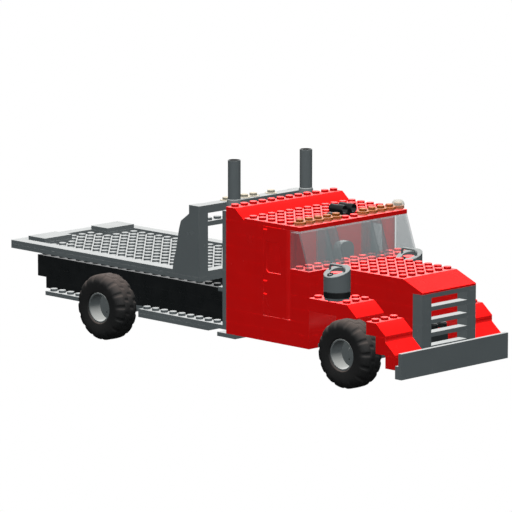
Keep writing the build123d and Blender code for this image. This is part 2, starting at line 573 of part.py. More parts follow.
# ---- files -------------------------------------------------------------------------------
os.makedirs("parts", exist_ok=True)
for node, solids in parts.items():
    whole = solids[0] if len(solids) == 1 else Compound(solids)
    export_step(whole, "parts/" + node + ".step")
print(len(parts), "nodes")
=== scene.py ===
import logging
from collections.abc import Sequence
from dataclasses import dataclass, field
from enum import Enum
from math import cos, pi, radians, sin, tan

import bpy
import numpy as np
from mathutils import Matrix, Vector


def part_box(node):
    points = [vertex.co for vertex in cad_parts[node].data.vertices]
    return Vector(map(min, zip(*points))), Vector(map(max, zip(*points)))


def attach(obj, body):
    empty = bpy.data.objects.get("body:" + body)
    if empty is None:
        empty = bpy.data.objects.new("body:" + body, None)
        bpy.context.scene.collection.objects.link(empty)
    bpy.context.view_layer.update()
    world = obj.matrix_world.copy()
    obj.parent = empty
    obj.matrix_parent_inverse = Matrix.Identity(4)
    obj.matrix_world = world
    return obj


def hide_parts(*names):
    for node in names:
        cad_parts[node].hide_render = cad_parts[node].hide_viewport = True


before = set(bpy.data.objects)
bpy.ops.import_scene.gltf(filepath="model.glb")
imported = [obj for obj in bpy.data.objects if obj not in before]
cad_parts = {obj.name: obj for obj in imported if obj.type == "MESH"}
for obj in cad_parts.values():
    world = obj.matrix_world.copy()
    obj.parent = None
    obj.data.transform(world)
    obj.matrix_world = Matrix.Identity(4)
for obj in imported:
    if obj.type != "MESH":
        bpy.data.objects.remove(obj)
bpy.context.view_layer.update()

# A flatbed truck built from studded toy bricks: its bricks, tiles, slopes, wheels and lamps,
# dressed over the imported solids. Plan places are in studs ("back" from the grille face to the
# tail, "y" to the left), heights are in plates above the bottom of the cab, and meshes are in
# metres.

LOG = logging.getLogger("flatbed")


class Slot(Enum):
    """The record's material slots."""

    RED = "red_brick"
    GREY = "grey_brick"
    BLACK = "black_brick"
    RIM = "rim_plastic"
    TYRE = "tyre_rubber"
    CLEAR = "clear_plastic"
    ORANGE = "orange_lens"
    YELLOW = "yellow_lens"


class Carry(Enum):
    """Which way an outline is carried, with the axes of its two numbers and of the path."""

    ACROSS = (0, 2, 1)
    ALONG = (1, 2, 0)
    UP = (0, 1, 2)


class Side(Enum):
    """The two sides of the truck, as the sign of y."""

    LEFT = 1
    RIGHT = -1

    @property
    def label(self) -> str:
        """The side's name, as pieces and nodes carry it."""
        return self.name.lower()

    def span(self, near: float, far: float) -> list[float]:
        """Two distances from the middle as places on this side, the lower one first."""
        return sorted((self.value * near, self.value * far))


@dataclass(frozen=True)
class Lattice:
    """The grid of studs and plates, in metres."""

    stud: float = 0.008
    plate: float = 0.008 / 3
    knob_radius: float = 0.0024
    knob_high: float = 0.0017
    grille_x: float = 0.508 / 3
    ride: float = 0.0197

    def x(self, back: float | np.ndarray) -> float | np.ndarray:
        """Place along the truck of a distance behind the grille face, in studs."""
        return self.grille_x - self.stud * back

    def y(self, across: float | np.ndarray) -> float | np.ndarray:
        """Place across the truck of a distance from its middle, in studs."""
        return self.stud * across

    def z(self, level: float | np.ndarray) -> float | np.ndarray:
        """Height of a level, in plates above the bottom of the cab."""
        return self.ride + self.plate * level

    def side(self, outline: Sequence[tuple[float, float]]) -> np.ndarray:
        """Turn (back, level) corners into (x, z) metres.

        Args:
            outline: corners of a side view.

        Returns:
            An array of one row for each corner.
        """
        corners = np.array(outline, float)
        return np.stack([self.x(corners[:, 0]), self.z(corners[:, 1])], axis=1)

    def at(self, back: float, across: float, level: float) -> np.ndarray:
        """A place of the grid, in metres."""
        return np.array([self.x(back), self.y(across), self.z(level)])

    def reach(self, low: Vector, high: Vector) -> tuple[float, float]:
        """Where a box starts and ends behind the grille face, in studs."""
        return (self.grille_x - high.x) / self.stud, (self.grille_x - low.x) / self.stud


GRID = Lattice()

# How much is taken off the edges of a brick and of a tile, in metres, and the angle between
# two faces from which their edge is sharp, in degrees.
BRICK_EDGE = 0.00002
TILE_EDGE = 0.00005
SHARP_FROM = 32.0


# ---- surfaces ------------------------------------------------------------------------------


def angles(count: int) -> np.ndarray:
    """That many angles, evenly spaced right round."""
    return 2 * pi * np.arange(count) / count


def unit(ways: np.ndarray) -> np.ndarray:
    """Directions drawn to a length of one."""
    return ways / np.linalg.norm(ways, axis=-1, keepdims=True)


def end_caps(rows: int, columns: int) -> np.ndarray:
    """The first and last ring of a grid of points as faces, the first one turned round."""
    ring = np.arange(columns)
    return np.stack([ring[::-1], (rows - 1) * columns + ring])


def ring_quads(rows: int, columns: int, closed: bool) -> np.ndarray:
    """Quads of a grid of points whose columns run right round.

    Args:
        rows: number of rings.
        columns: points in each ring.
        closed: whether the last ring joins the first.

    Returns:
        Point numbers, four for each quad. Quad (i, j) joins points (i, j), (i, j+1),
        (i+1, j+1) and (i+1, j), counted round where it closes.
    """
    i, j = np.meshgrid(np.arange(rows if closed else rows - 1), np.arange(columns), indexing="ij")
    below, right = (i + 1) % rows, (j + 1) % columns
    quads = [i * columns + j, i * columns + right, below * columns + right, below * columns + j]
    return np.stack(quads, axis=-1).reshape(-1, 4)


CORNERS = np.array([[a, b, c] for a in (-1, 1) for b in (-1, 1) for c in (-1, 1)])


def block_faces() -> tuple[np.ndarray, np.ndarray]:
    """Faces of a block with its edges taken off, corner c holding points 3c, 3c+1 and 3c+2.

    Returns:
        Its 18 quads (6 sides and 12 edges) and its 8 corner triangles, facing outwards.
    """
    points = (CORNERS[:, None, :] * (1 - 0.2 * (1 - np.eye(3)))[None]).reshape(-1, 3)
    number = {tuple(s): n for n, s in enumerate(CORNERS.tolist())}
    quads, order = [], ((-1, -1), (1, -1), (1, 1), (-1, 1))
    for axis in range(3):
        first, second = [a for a in range(3) if a != axis]
        for sign in (-1, 1):
            corner = [[0, 0, 0] for _ in order]
            for place, (u, v) in zip(corner, order):
                place[axis], place[first], place[second] = sign, u, v
            quads.append([3 * number[tuple(c)] + axis for c in corner])
        for u, v in order:
            low, high = [0, 0, 0], [0, 0, 0]
            low[axis], high[axis] = -1, 1
            low[first] = high[first] = u
            low[second] = high[second] = v
            a, b = 3 * number[tuple(low)], 3 * number[tuple(high)]
            quads.append([a + first, b + first, b + second, a + second])
    quads, tris = np.array(quads), np.arange(24).reshape(8, 3)
    turned = []
    for faces in (quads, tris):
        p = points[faces]
        inward = np.einsum("nj,nj->n", np.cross(p[:, 1] - p[:, 0], p[:, 2] - p[:, 0]), p.mean(1)) < 0
        turned.append(np.where(inward[:, None], faces[:, ::-1], faces))
    return turned[0], turned[1]


BLOCK_QUADS, BLOCK_TRIS = block_faces()


class Surface:
    """Closed shapes gathered for one object, as arrays of points and faces."""

    def __init__(self) -> None:
        """Start with nothing in it."""
        self._points: list[np.ndarray] = []
        self._faces: list[np.ndarray] = []
        self._count = 0

    def add(self, points: np.ndarray, faces: Sequence[np.ndarray]) -> "Surface":
        """Add a closed shape, facing outwards.

        Six times its volume is the sum of a . (b x c) over its faces, fanned into
        triangles; if that is negative every face is turned round.

        Args:
            points: places of its points, in metres.
            faces: arrays of point numbers, one array for each number of corners.

        Returns:
            This surface.
        """
        points = np.asarray(points, float).reshape(-1, 3)
        centre, volume = points.mean(0), 0.0
        for group in faces:
            p = points[group] - centre
            volume += np.einsum("nj,nkj->", p[:, 0], np.cross(p[:, 1:-1], p[:, 2:]))
        for group in faces:
            self._faces.append((group if volume > 0 else group[:, ::-1]) + self._count)
        self._points.append(points)
        self._count += len(points)
        return self

    def blocks(self, rows: Sequence[Sequence[float]], cut: float = BRICK_EDGE) -> "Surface":
        """Add blocks with their edges taken off.

        A point near corner s (three signs) on the face across axis a lies at
        centre + s * half - s * cut, where the cut is left out along a.

        Args:
            rows: (back0, back1, y0, y1, low, top) for each block.
            cut: how much is taken off each edge.

        Returns:
            This surface.
        """
        r = np.array(rows, float).reshape(-1, 6)
        ends = np.stack([GRID.x(r[:, :2]), GRID.y(r[:, 2:4]), GRID.z(r[:, 4:])], axis=-1)
        low, high = ends.min(1), ends.max(1)
        half, centre = (high - low) / 2, (high + low) / 2
        small = np.minimum(cut, half.min(1))[:, None, None, None]
        inset = half[:, None, None, :] - small * (1 - np.eye(3))[None, None]
        points = centre[:, None, None, :] + CORNERS[None, :, None, :] * inset
        step = 24 * np.arange(len(r))[:, None, None]
        quads, tris = BLOCK_QUADS[None] + step, BLOCK_TRIS[None] + step
        return self.add(points, [quads.reshape(-1, 4), tris.reshape(-1, 3)])

    def knobs(self, spots: Sequence[tuple[float, float, float]], sides: int = 20) -> "Surface":
        """Add studs: rings of (radius, height) turned about the middle of each spot.

        Args:
            spots: (back, y, level) of each stud's foot.
            sides: points round each stud.

        Returns:
            This surface.
        """
        s = np.array(spots, float).reshape(-1, 3)
        base = np.stack([GRID.x(s[:, 0]), GRID.y(s[:, 1]), GRID.z(s[:, 2])], axis=-1)
        radius, high, soft = GRID.knob_radius, GRID.knob_high, 0.00018
        rings = np.array([[radius, -0.00008], [radius, high - soft], [radius - soft, high]])
        turn = angles(sides)
        circle = np.stack([np.cos(turn), np.sin(turn)], axis=-1)
        flat = rings[:, None, :1] * circle[None]
        rise = np.broadcast_to(rings[:, None, 1:], (3, sides, 1))
        points = base[:, None, None, :] + np.concatenate([flat, rise], axis=-1)[None]
        step = 3 * sides * np.arange(len(s))[:, None, None]
        walls = (ring_quads(3, sides, False)[None] + step).reshape(-1, 4)
        caps = end_caps(3, sides)[None] + step
        return self.add(points, [walls, caps.reshape(-1, sides)])

    def carried(self, outline: np.ndarray, start: float, end: float,
                way: Carry = Carry.ACROSS, cut: float = 0.00003) -> "Surface":
        """Add an outline carried straight from one place to another, its edges taken off.

        Each corner gives way to two points a short step along its two edges. The end rings
        are drawn in from the outline by the cut, each point along the mean of its edges'
        outward directions n1 and n2, by (n1 + n2) / (1 + n1 . n2).

        Args:
            outline: (k, 2) corners, in metres.
            start: where the path starts.
            end: where the path ends.
            way: which way the outline is carried.
            cut: how much is taken off each edge.

        Returns:
            This surface.
        """
        p = np.asarray(outline, float)
        ahead = np.roll(p, -1, axis=0)
        if np.sum(p[:, 0] * ahead[:, 1] - ahead[:, 0] * p[:, 1]) < 0:
            p = p[::-1]
            ahead = np.roll(p, -1, axis=0)
        span = np.linalg.norm(ahead - p, axis=1, keepdims=True)
        along = (ahead - p) / span
        step = np.minimum(cut, 0.3 * span)
        before, arrived = np.roll(step, 1, axis=0), np.roll(along, 1, axis=0)
        loop = np.stack([p - before * arrived, p + step * along], axis=1).reshape(-1, 2)
        edge = unit(np.roll(loop, -1, axis=0) - loop)
        out = np.stack([edge[:, 1], -edge[:, 0]], axis=1)
        last = np.roll(out, 1, axis=0)
        mean = (out + last) / (1 + np.sum(out * last, axis=1, keepdims=True))
        inner = loop - cut * mean
        low, high = min(start, end), max(start, end)
        rings = [(inner, low), (loop, low + cut), (loop, high - cut), (inner, high)]
        first, second, third = way.value
        points = np.zeros((4, len(loop), 3))
        for row, (ring, place) in enumerate(rings):
            points[row, :, first], points[row, :, second] = ring[:, 0], ring[:, 1]
            points[row, :, third] = place
        return self.add(points, [ring_quads(4, len(loop), False), end_caps(4, len(loop))])

    def turned(self, profile: np.ndarray, centre: Sequence[float], axis: int = 2,
               sides: int = 48, closed: bool = False, slope: float = 0.0,
               ridges: int = 0) -> "Surface":
        """Add a profile turned about an axis.

        A profile point (r, h) becomes r cos t, r sin t across the axis and h along it. With
        a slope, a third number s lifts the point by s * slope * its y. With ridges, a fourth
        number draws the wall in by up to that depth, that many times round.

        Args:
            profile: rows of radius and height, then lift share and ridge depth if given.
            centre: the point that heights start from.
            axis: 0, 1 or 2, the axis that it is turned about.
            sides: points round.
            closed: whether the profile's last point joins its first.
            slope: rise of the lifted points for each metre of y.
            ridges: number of ridges round.

        Returns:
            This surface.
        """
        rows = np.zeros((len(profile), 4))
        given = np.asarray(profile, float)
        rows[:, : given.shape[1]] = given
        turn = angles(sides)
        dip = 0.5 - 0.5 * np.cos(ridges * turn)
        radius = rows[:, :1] - rows[:, 3:4] * dip[None]
        a, b = radius * np.cos(turn), radius * np.sin(turn)
        along = np.broadcast_to(rows[:, 1:2], a.shape) + rows[:, 2:3] * slope * b
        order = {0: (along, a, b), 1: (b, along, a), 2: (a, b, along)}[axis]
        points = np.stack(order, axis=-1) + np.asarray(centre, float)
        faces = [ring_quads(len(rows), sides, closed)]
        if not closed:
            faces.append(end_caps(len(rows), sides))
        return self.add(points, faces)

    def tube(self, path: np.ndarray, radius: float, beside: Sequence[float],
             sides: int = 14) -> "Surface":
        """Add a round bar along a flat path.

        The ring at each path point lies in the plane of the direction beside the path and
        of the path's own normal, which is their cross product with its tangent.

        Args:
            path: (n, 3) points.
            radius: radius of the bar.
            beside: direction square to the path's plane.
            sides: points round.

        Returns:
            This surface.
        """
        path = np.asarray(path, float)
        tangent = unit(np.gradient(path, axis=0))
        flank = np.broadcast_to(np.asarray(beside, float), path.shape)
        upward = np.cross(flank, tangent)
        turn = angles(sides)
        cosine, sine = np.cos(turn)[None, :, None], np.sin(turn)[None, :, None]
        points = path[:, None] + radius * (flank[:, None] * cosine + upward[:, None] * sine)
        return self.add(points, [ring_quads(len(path), sides, False), end_caps(len(path), sides)])

    def framed(self, outer: np.ndarray, inner: np.ndarray, start: float, end: float,
               cut: float = 0.00012) -> "Surface":
        """Add a flat frame: a ring between two outlines with the same number of points.

        A small rectangle with its corners taken off is carried round the opening: its eight
        rows lie on the outer and the inner outline, each shifted by the cut towards the
        other one or towards the middle of the thickness.

        Args:
            outer: (k, 2) points of (x, z), in metres.
            inner: (k, 2) points of the opening, matched to the outer ones.
            start: y of one face.
            end: y of the other face.
            cut: how much is taken off each edge.

        Returns:
            This surface.
        """
        outer, inner = np.asarray(outer, float), np.asarray(inner, float)
        low, high = min(start, end), max(start, end)
        across = unit(outer - inner) * cut
        rows = [(outer, low + cut), (outer, high - cut), (outer - across, high),
                (inner + across, high), (inner, high - cut), (inner, low + cut),
                (inner + across, low), (outer - across, low)]
        points = np.stack([np.column_stack([r[:, 0], np.full(len(r), y), r[:, 1]]) for r, y in rows])
        return self.add(points, [ring_quads(8, len(outer), True)])

    def mirrored(self) -> "Surface":
        """A copy on the truck's other side, with its faces turned round to face outwards."""
        other = Surface()
        other._points = [p * np.array([1, -1, 1]) for p in self._points]
        other._faces = [f[:, ::-1] for f in self._faces]
        other._count = self._count
        return other

    def mesh(self, name: str) -> bpy.types.Mesh:
        """Put the arrays into a mesh, smooth except where faces meet at a sharp angle.

        Args:
            name: the mesh's name.

        Returns:
            The mesh.
        """
        points = np.concatenate(self._points).astype(np.float32)
        loops = np.concatenate([f.ravel() for f in self._faces]).astype(np.int32)
        totals = np.concatenate([np.full(len(f), f.shape[1]) for f in self._faces])
        starts = np.concatenate([[0], np.cumsum(totals)[:-1]]).astype(np.int32)
        mesh = bpy.data.meshes.new(name)
        mesh.vertices.add(len(points))
        mesh.vertices.foreach_set("co", points.ravel())
        mesh.loops.add(len(loops))
        mesh.loops.foreach_set("vertex_index", loops)
        mesh.polygons.add(len(totals))
        mesh.polygons.foreach_set("loop_start", starts)
        mesh.update(calc_edges=True)
        mesh.shade_smooth()
        mesh.set_sharp_from_angle(angle=radians(SHARP_FROM))
        return mesh


Spot = tuple[float, float, float]


def both(rows: Sequence[Sequence[float]]) -> list[list[float]]:
    """Rows of blocks, and the same blocks on the other side of the truck."""
    return [*rows, *[[a, b, -y1, -y0, low, top] for a, b, y0, y1, low, top in rows]]


def courses(back0: float, back1: float, y0: float, y1: float, low: float, top: float,
            long: float = 4, high: float = 3, across: bool = False,
            shift: float = 0.0) -> list[list[float]]:
    """Blocks of a wall laid in running bond, each course half a brick on from the last.

    Args:
        back0, back1: the wall's ends along the truck, in studs.
        y0, y1: its ends across the truck, in studs.
        low, top: its lowest and highest level, in plates.
        long: length of a brick, in studs.
        high: height of a brick, in plates.
        across: whether the bricks lie across the truck.
        shift: where the joints of the first course start, in studs.

    Returns:
        One row of (back0, back1, y0, y1, low, top) for each brick.
    """
    ends = (y0, y1) if across else (back0, back1)
    rows = []
    for number, level in enumerate(np.arange(low, top - 1e-6, high)):
        first = ends[0] + (shift + number * long / 2) % long
        joints = [ends[0], *[j for j in np.arange(first, ends[1], long) if j > ends[0] + 0.4], ends[1]]
        if len(joints) > 2 and joints[-1] - joints[-2] < 0.6:
            joints.pop(-2)
        for a, b in zip(joints[:-1], joints[1:]):
            upper = min(level + high, top)
            rows.append([back0, back1, a, b, level, upper] if across else [a, b, y0, y1, level, upper])
    return rows


def spots(back0: float, back1: float, y0: float, y1: float, level: float) -> list[Spot]:
    """Centres of the one-stud squares between two places, at one level."""
    along, over = np.arange(back0 + 0.5, back1, 1.0), np.arange(y0 + 0.5, y1, 1.0)
    return [(float(a), float(b), level) for a in along for b in over]


def rounded(corners: Sequence[tuple[float, float]], radii: Sequence[float], steps: int = 6) -> np.ndarray:
    """An outline with its corners rounded by arcs that touch both edges.

    The arc at a corner starts r / tan(half the angle) before it, and its points lie on the
    circle of radius r about the point where the two edges, moved in by r, cross.

    Args:
        corners: (k, 2) corners.
        radii: radius at each corner, 0 for a sharp one.
        steps: pieces in each arc.

    Returns:
        (n, 2) points, steps + 1 of them at each corner.
    """
    c = np.array(corners, float)
    back, ahead = unit(np.roll(c, 1, axis=0) - c), unit(np.roll(c, -1, axis=0) - c)
    half = np.arccos(np.clip(np.sum(back * ahead, axis=1), -1, 1)) / 2
    r = np.maximum(np.array(radii, float), 1e-7)[:, None]
    reach = r / np.tan(half)[:, None]
    first, last = c + back * reach, c + ahead * reach
    centre = c + unit(back + ahead) * r / np.sin(half)[:, None]
    share = np.linspace(0, 1, steps + 1)[None, :, None]
    chord = (first - centre)[:, None] * (1 - share) + (last - centre)[:, None] * share
    return (centre[:, None] + unit(chord) * r[:, None]).reshape(-1, 2)


# ---- finishes ------------------------------------------------------------------------------


Colour = tuple[float, float, float]
Socket = bpy.types.NodeSocket


def wire(tree: bpy.types.NodeTree, kind: str, constants: dict | None = None,
         links: dict | None = None, **settings: str) -> bpy.types.Node:
    """Add a node to a tree.

    Args:
        tree: the tree.
        kind: the node's type, after "ShaderNode".
        constants: values of its inputs, by name or number.
        links: sockets that feed its inputs, by name or number.
        settings: its other properties.

    Returns:
        The node.
    """
    node = tree.nodes.new("ShaderNode" + kind)
    for key, value in settings.items():
        setattr(node, key, value)
    for key, value in (constants or {}).items():
        node.inputs[key].default_value = value
    for key, socket in (links or {}).items():
        tree.links.new(socket, node.inputs[key])
    return node


@dataclass
class Graph:
    """The nodes of one material, read at its Object coordinates."""

    tree: bpy.types.NodeTree
    shader: bpy.types.Node
    coords: bpy.types.Node

    def noise(self, scale: float, detail: float, low: float | None = None,
              high: float = 1.0) -> Socket:
        """A noise of this many waves to the metre, its middle spread from low to high if given."""
        made = wire(self.tree, "TexNoise", {"Scale": scale, "Detail": detail},
                    {"Vector": self.coords.outputs["Object"]}).outputs["Fac"]
        if low is None:
            return made
        ends = {"From Min": 0.3, "From Max": 0.7, "To Min": low, "To Max": high}
        return wire(self.tree, "MapRange", ends, {"Value": made}).outputs["Result"]

    def tint(self, share: Socket, one: Colour, other: Colour) -> Socket:
        """A mix of two colours by a share."""
        return wire(self.tree, "Mix", {6: (*one, 1), 7: (*other, 1)}, {0: share},
                    data_type="RGBA").outputs[2]

    def bloom(self, under: Socket, share: float, pale: Colour, start: float) -> Socket:
        """The colour with painted top light: a pale colour mixed in the more a face looks upwards,
        standing in for light from above.
        """
        facing = wire(self.tree, "NewGeometry").outputs["Normal"]
        upward = wire(self.tree, "SeparateXYZ", links={0: facing}).outputs["Z"]
        ends = {"From Min": start, "From Max": 0.95, "To Max": share}
        lying = wire(self.tree, "MapRange", ends, {"Value": upward}).outputs["Result"]
        return wire(self.tree, "Mix", {7: (*pale, 1)}, {0: lying, 6: under},
                    data_type="RGBA").outputs[2]

    def bump(self, height: Socket, deep: float, strength: float) -> None:
        """Raise the surface by a height, in metres at its full value."""
        raised = wire(self.tree, "Bump", {"Distance": deep, "Strength": strength}, {"Height": height})
        self.tree.links.new(raised.outputs["Normal"], self.shader.inputs["Normal"])


@dataclass(frozen=True)
class Finish:
    """What every finish shares: a name, a slot, a colour and how it takes the light."""

    name: str
    slot: Slot
    colour: Colour
    rough: float = 0.22
    ior: float = 1.46

    def material(self) -> bpy.types.Material:
        """The finish as a material, made once."""
        if self.name in bpy.data.materials:
            return bpy.data.materials[self.name]
        made = bpy.data.materials.new(self.name)
        made.use_nodes = True
        made.diffuse_color = (*self.colour, 1)
        shader = made.node_tree.nodes["Principled BSDF"]
        shader.inputs["Roughness"].default_value = self.rough
        shader.inputs["IOR"].default_value = self.ior
        graph = Graph(made.node_tree, shader, wire(made.node_tree, "TexCoord"))
        made.node_tree.links.new(self.paint(made, graph), shader.inputs["Base Color"])
        return made

    def paint(self, made: bpy.types.Material, graph: Graph) -> Socket:
        """Set polish and relief and give the colour; each kind of finish has its own."""
        raise NotImplementedError

    def polish(self, graph: Graph, share: Socket) -> None:
        """Let the roughness follow a noise."""
        graph.tree.links.new(share, graph.shader.inputs["Roughness"])


@dataclass(frozen=True)
class Moulded(Finish):
    """Hard glossy moulded plastic: a faint flow mark in its colour, a fine grain from the
    mould and a polish that handling has dulled in patches."""

    cloud: float = 0.035
    grain: float = 0.000012

    def paint(self, made: bpy.types.Material, graph: Graph) -> Socket:
        """Colour, polish and grain each follow a noise of their own size."""
        dark = tuple(c * (1 - self.cloud) for c in self.colour)
        light = tuple(min(1.0, c * (1 + self.cloud)) for c in self.colour)
        self.polish(graph, graph.noise(120, 5, self.rough * 0.8, self.rough * 1.25))
        graph.bump(graph.noise(900, 2), self.grain, 0.5)
        return graph.tint(graph.noise(38, 3, 0), dark, light)


@dataclass(frozen=True)
class ClearMoulded(Finish):
    """See-through moulded plastic, tinted, with a slight ripple from the mould."""

    solid: float = 0.3
    ripple: float = 0.00002

    def paint(self, made: bpy.types.Material, graph: Graph) -> Socket:
        """The tint is mixed faintly by a noise, and the rest shows what is behind."""
        pale = tuple(min(1.0, c * 1.04) for c in self.colour)
        graph.shader.inputs["Alpha"].default_value = self.solid
        graph.bump(graph.noise(160, 1), self.ripple, 0.3)
        made.surface_render_method = "BLENDED"
        return graph.tint(graph.noise(30, 2, 0), self.colour, pale)


@dataclass(frozen=True)
class TyreRubber(Finish):
    """Soft black rubber: dusty patches over a fine matt grain, with painted top light on faces that look
    upwards.
    """

    dusty: Colour = (0.014, 0.0145, 0.015)
    # The next three fields set the painted top light: how much pale colour, which colour, and how far a
    # face must look upwards before it starts.
    bloom: float = 0.9
    painted_top_colour: Colour = (0.044, 0.0395, 0.0375)
    painted_top_start: float = 0.25
    grain: float = 0.00003

    def paint(self, made: bpy.types.Material, graph: Graph) -> Socket:
        """Dusty patches follow a broad noise and the grain a fine one; the painted top light follows how
        far each face looks upwards.
        """
        self.polish(graph, graph.noise(300, 3, self.rough * 0.85, self.rough * 1.15))
        graph.bump(graph.noise(2600, 3), self.grain, 0.6)
        under = graph.tint(graph.noise(85, 4, 0), self.colour, self.dusty)
        return graph.bloom(under, self.bloom, self.painted_top_colour, self.painted_top_start)


RED = Moulded("red_moulded", Slot.RED, (0.78, 0.0045, 0.0045))
GREY = Moulded("dark_grey_moulded", Slot.GREY, (0.142, 0.168, 0.176))
BLACK = Moulded("black_moulded", Slot.BLACK, (0.0078, 0.010, 0.011), rough=0.3, cloud=0.015)
DARK_RED = Moulded("dark_red_moulded", Slot.RED, (0.22, 0.006, 0.006))
RIM = Moulded("rim_moulded", Slot.RIM, (0.142, 0.164, 0.168), rough=0.16)
SHAFT = Moulded("shaft_moulded", Slot.GREY, (0.120, 0.140, 0.148), rough=0.3)
# Painted shade for the inside of the exhaust pipes: a dull near-black that reflects almost nothing.
PIPE_SHADE_BLACK = Moulded("painted_pipe_shade_black", Slot.BLACK, (0.0012, 0.0012, 0.0012), rough=0.9, ior=1.02)
# Painted shade: a darker copy of the dark grey, for the block that sits in shade behind the grille slats.
SHADED = Moulded("shaded_grey_moulded", Slot.GREY, (0.026, 0.034, 0.037), rough=0.4)
# The tyre carries painted top light: its upward faces are mixed towards a pale brown.
TYRE = TyreRubber("tyre_rubber_bloom", Slot.TYRE, (0.0085, 0.0098, 0.0103), rough=0.6, ior=1.4)
GLASS = ClearMoulded("glazing_clear", Slot.CLEAR, (0.165, 0.205, 0.220), rough=0.08, solid=0.32)
DOME = ClearMoulded("dome_clear", Slot.CLEAR, (0.29, 0.30, 0.26), rough=0.1, solid=0.5)
ORANGE = ClearMoulded("marker_orange", Slot.ORANGE, (0.30, 0.08, 0.004), rough=0.12, solid=0.75)
YELLOW = ClearMoulded("lamp_straw", Slot.YELLOW, (0.30, 0.29, 0.22), rough=0.2, solid=0.8)


@dataclass
class Piece:
    """One object of the truck: its surface, finish, body and the nodes it stands for."""

    name: str
    finish: Finish
    stands_for: tuple[str, ...] = ()
    body: str = "chassis"
    surface: Surface = field(default_factory=Surface)

    def on(self, side: Side) -> "Piece":
        """The piece as modelled for the left, or turned over for the right."""
        if side is Side.RIGHT:
            self.surface = self.surface.mirrored()
        return self

    def place(self) -> bpy.types.Object:
        """Make the object, dress it and let it ride on its body.

        The pieces neither shade nor tint one another, as under an even light from all round.

        Returns:
            The object.
        """
        made = bpy.data.objects.new(self.name, self.surface.mesh(self.name))
        bpy.context.scene.collection.objects.link(made)
        made.data.materials.append(self.finish.material())
        made.visible_shadow = made.visible_diffuse = made.visible_glossy = False
        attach(made, self.body)
        if self.stands_for:
            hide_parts(*self.stands_for)
        for node in self.stands_for:
            dress(node, self.finish)
        LOG.info("%s: %d faces, %s, on %s", self.name, len(made.data.polygons),
                 self.finish.name, self.body)
        return made


def bricks(name: str, finish: Finish, node: str, rows: Sequence[Sequence[float]],
           studs: Sequence[Spot] = (), cut: float = BRICK_EDGE) -> Piece:
    """A piece of blocks, studded in places, that stands for one fixed node.

    Args:
        name: the piece's name.
        finish: what it wears.
        node: the node that it stands for.
        rows: (back0, back1, y0, y1, low, top) for each block.
        studs: (back, y, level) of each stud.
        cut: how much is taken off each edge.

    Returns:
        The piece.
    """
    piece = Piece(name, finish, (node,))
    piece.surface.blocks(rows, cut)
    if studs:
        piece.surface.knobs(studs)
    return piece


def dress(node: str, finish: Finish) -> None:
    """Give a carried-over node its finish.

    Args:
        node: the node's name.
        finish: what it wears.
    """
    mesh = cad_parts[node].data
    mesh.materials.clear()
    mesh.materials.append(finish.material())
    LOG.info("%s wears %s", node, finish.name)


# ---- chassis -------------------------------------------------------------------------------


@dataclass
class Chassis:
    """The lower plates, the black beams with their carriers, and the axle blocks."""

    ledge: float = 5.0
    beam_in: float = 3.0
    beam_out: float = 4.0
    beam_top: float = 9.0
    beam_front: float = 18.4
    beam_back: float = 42.0
    rear_axle: float = 32.0

    def plates(self) -> Piece:
        """The grey plates under the beams, with their studded ledges."""
        near, bay = self.rear_axle - 3, self.rear_axle + 3
        rows = [[33, bay, -4, 4, 0, 1], [near, 31, -4, 4, 0, 1]]
        for a, b in ((bay, 40), (18, 21), (21, 25), (25, near)):
            rows += both([[a, b, 0, self.ledge, 0, 1]])
        for a, b in ((21, 23), (23, near)):
            rows += both([[a, b, 0, self.ledge, -1, 0]])
        studs = [s for a, b in ((bay, 40), (19, near)) for y in (4, -5) for s in spots(a, b, y, y + 1, 1)]
        return bricks("floor_plates", GREY, "base_plates", rows, studs)

    def step(self) -> Piece:
        """The plate that shows as a step under the back of the cab."""
        return bricks("cab_step", GREY, "step_plate", both([[17, 19, 0, 6, -1, 0]]))

    def front(self) -> Piece:
        """The plates before and behind the front axle block."""
        ahead, behind = GRID.reach(*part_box("axle_front"))
        rows = both([[1, ahead, 0, 3, 0, 1], [behind, 9, 0, 3, 0, 1]])
        return bricks("front_plates", GREY, "front_frame", rows)

    def beam(self, side: Side) -> Piece:
        """One black side beam, laid in three courses and studded along its top."""
        y0, y1 = side.span(self.beam_in, self.beam_out)
        start, end = self.beam_front, self.beam_back
        rows = courses(start, 31, y0, y1, 1, 3, long=6, high=2)
        rows += courses(33, end - 1, y0, y1, 1, 3, long=6, high=2)
        rows += courses(start, end - 1, y0, y1, 3, 6, long=6, shift=3)
        rows += [[end - 1, end, y0, y1, 3.7, 6]]
        rows += courses(start, end, y0, y1, 6, self.beam_top, long=6)
        label = side.label
        return bricks("beam_bricks_" + label, BLACK, "side_beam_" + label, rows,
                      spots(20, end, y0, y1, self.beam_top))

    def carriers(self) -> Piece:
        """The bricks inside the beams that carry the bed."""
        rows = both(courses(21, self.beam_back, 2, 3, 3, 9)
                    + courses(21, self.beam_back, 2, 3, 9, 11, long=6, high=1, shift=2))
        for back in (21, 31, 41):
            rows += courses(back, back + 1, -2, 2, 3, 9, across=True)
        return bricks("carrier_bricks", BLACK, "bed_carriers", rows)

    def build(self) -> list[Piece]:
        """Every piece of the chassis; the axle blocks stay as they are and are dressed."""
        dress("axle_front", SHAFT)
        dress("axle_rear", SHAFT)
        return [self.plates(), self.step(), self.front(), self.beam(Side.LEFT),
                self.beam(Side.RIGHT), self.carriers()]


# ---- wheels --------------------------------------------------------------------------------


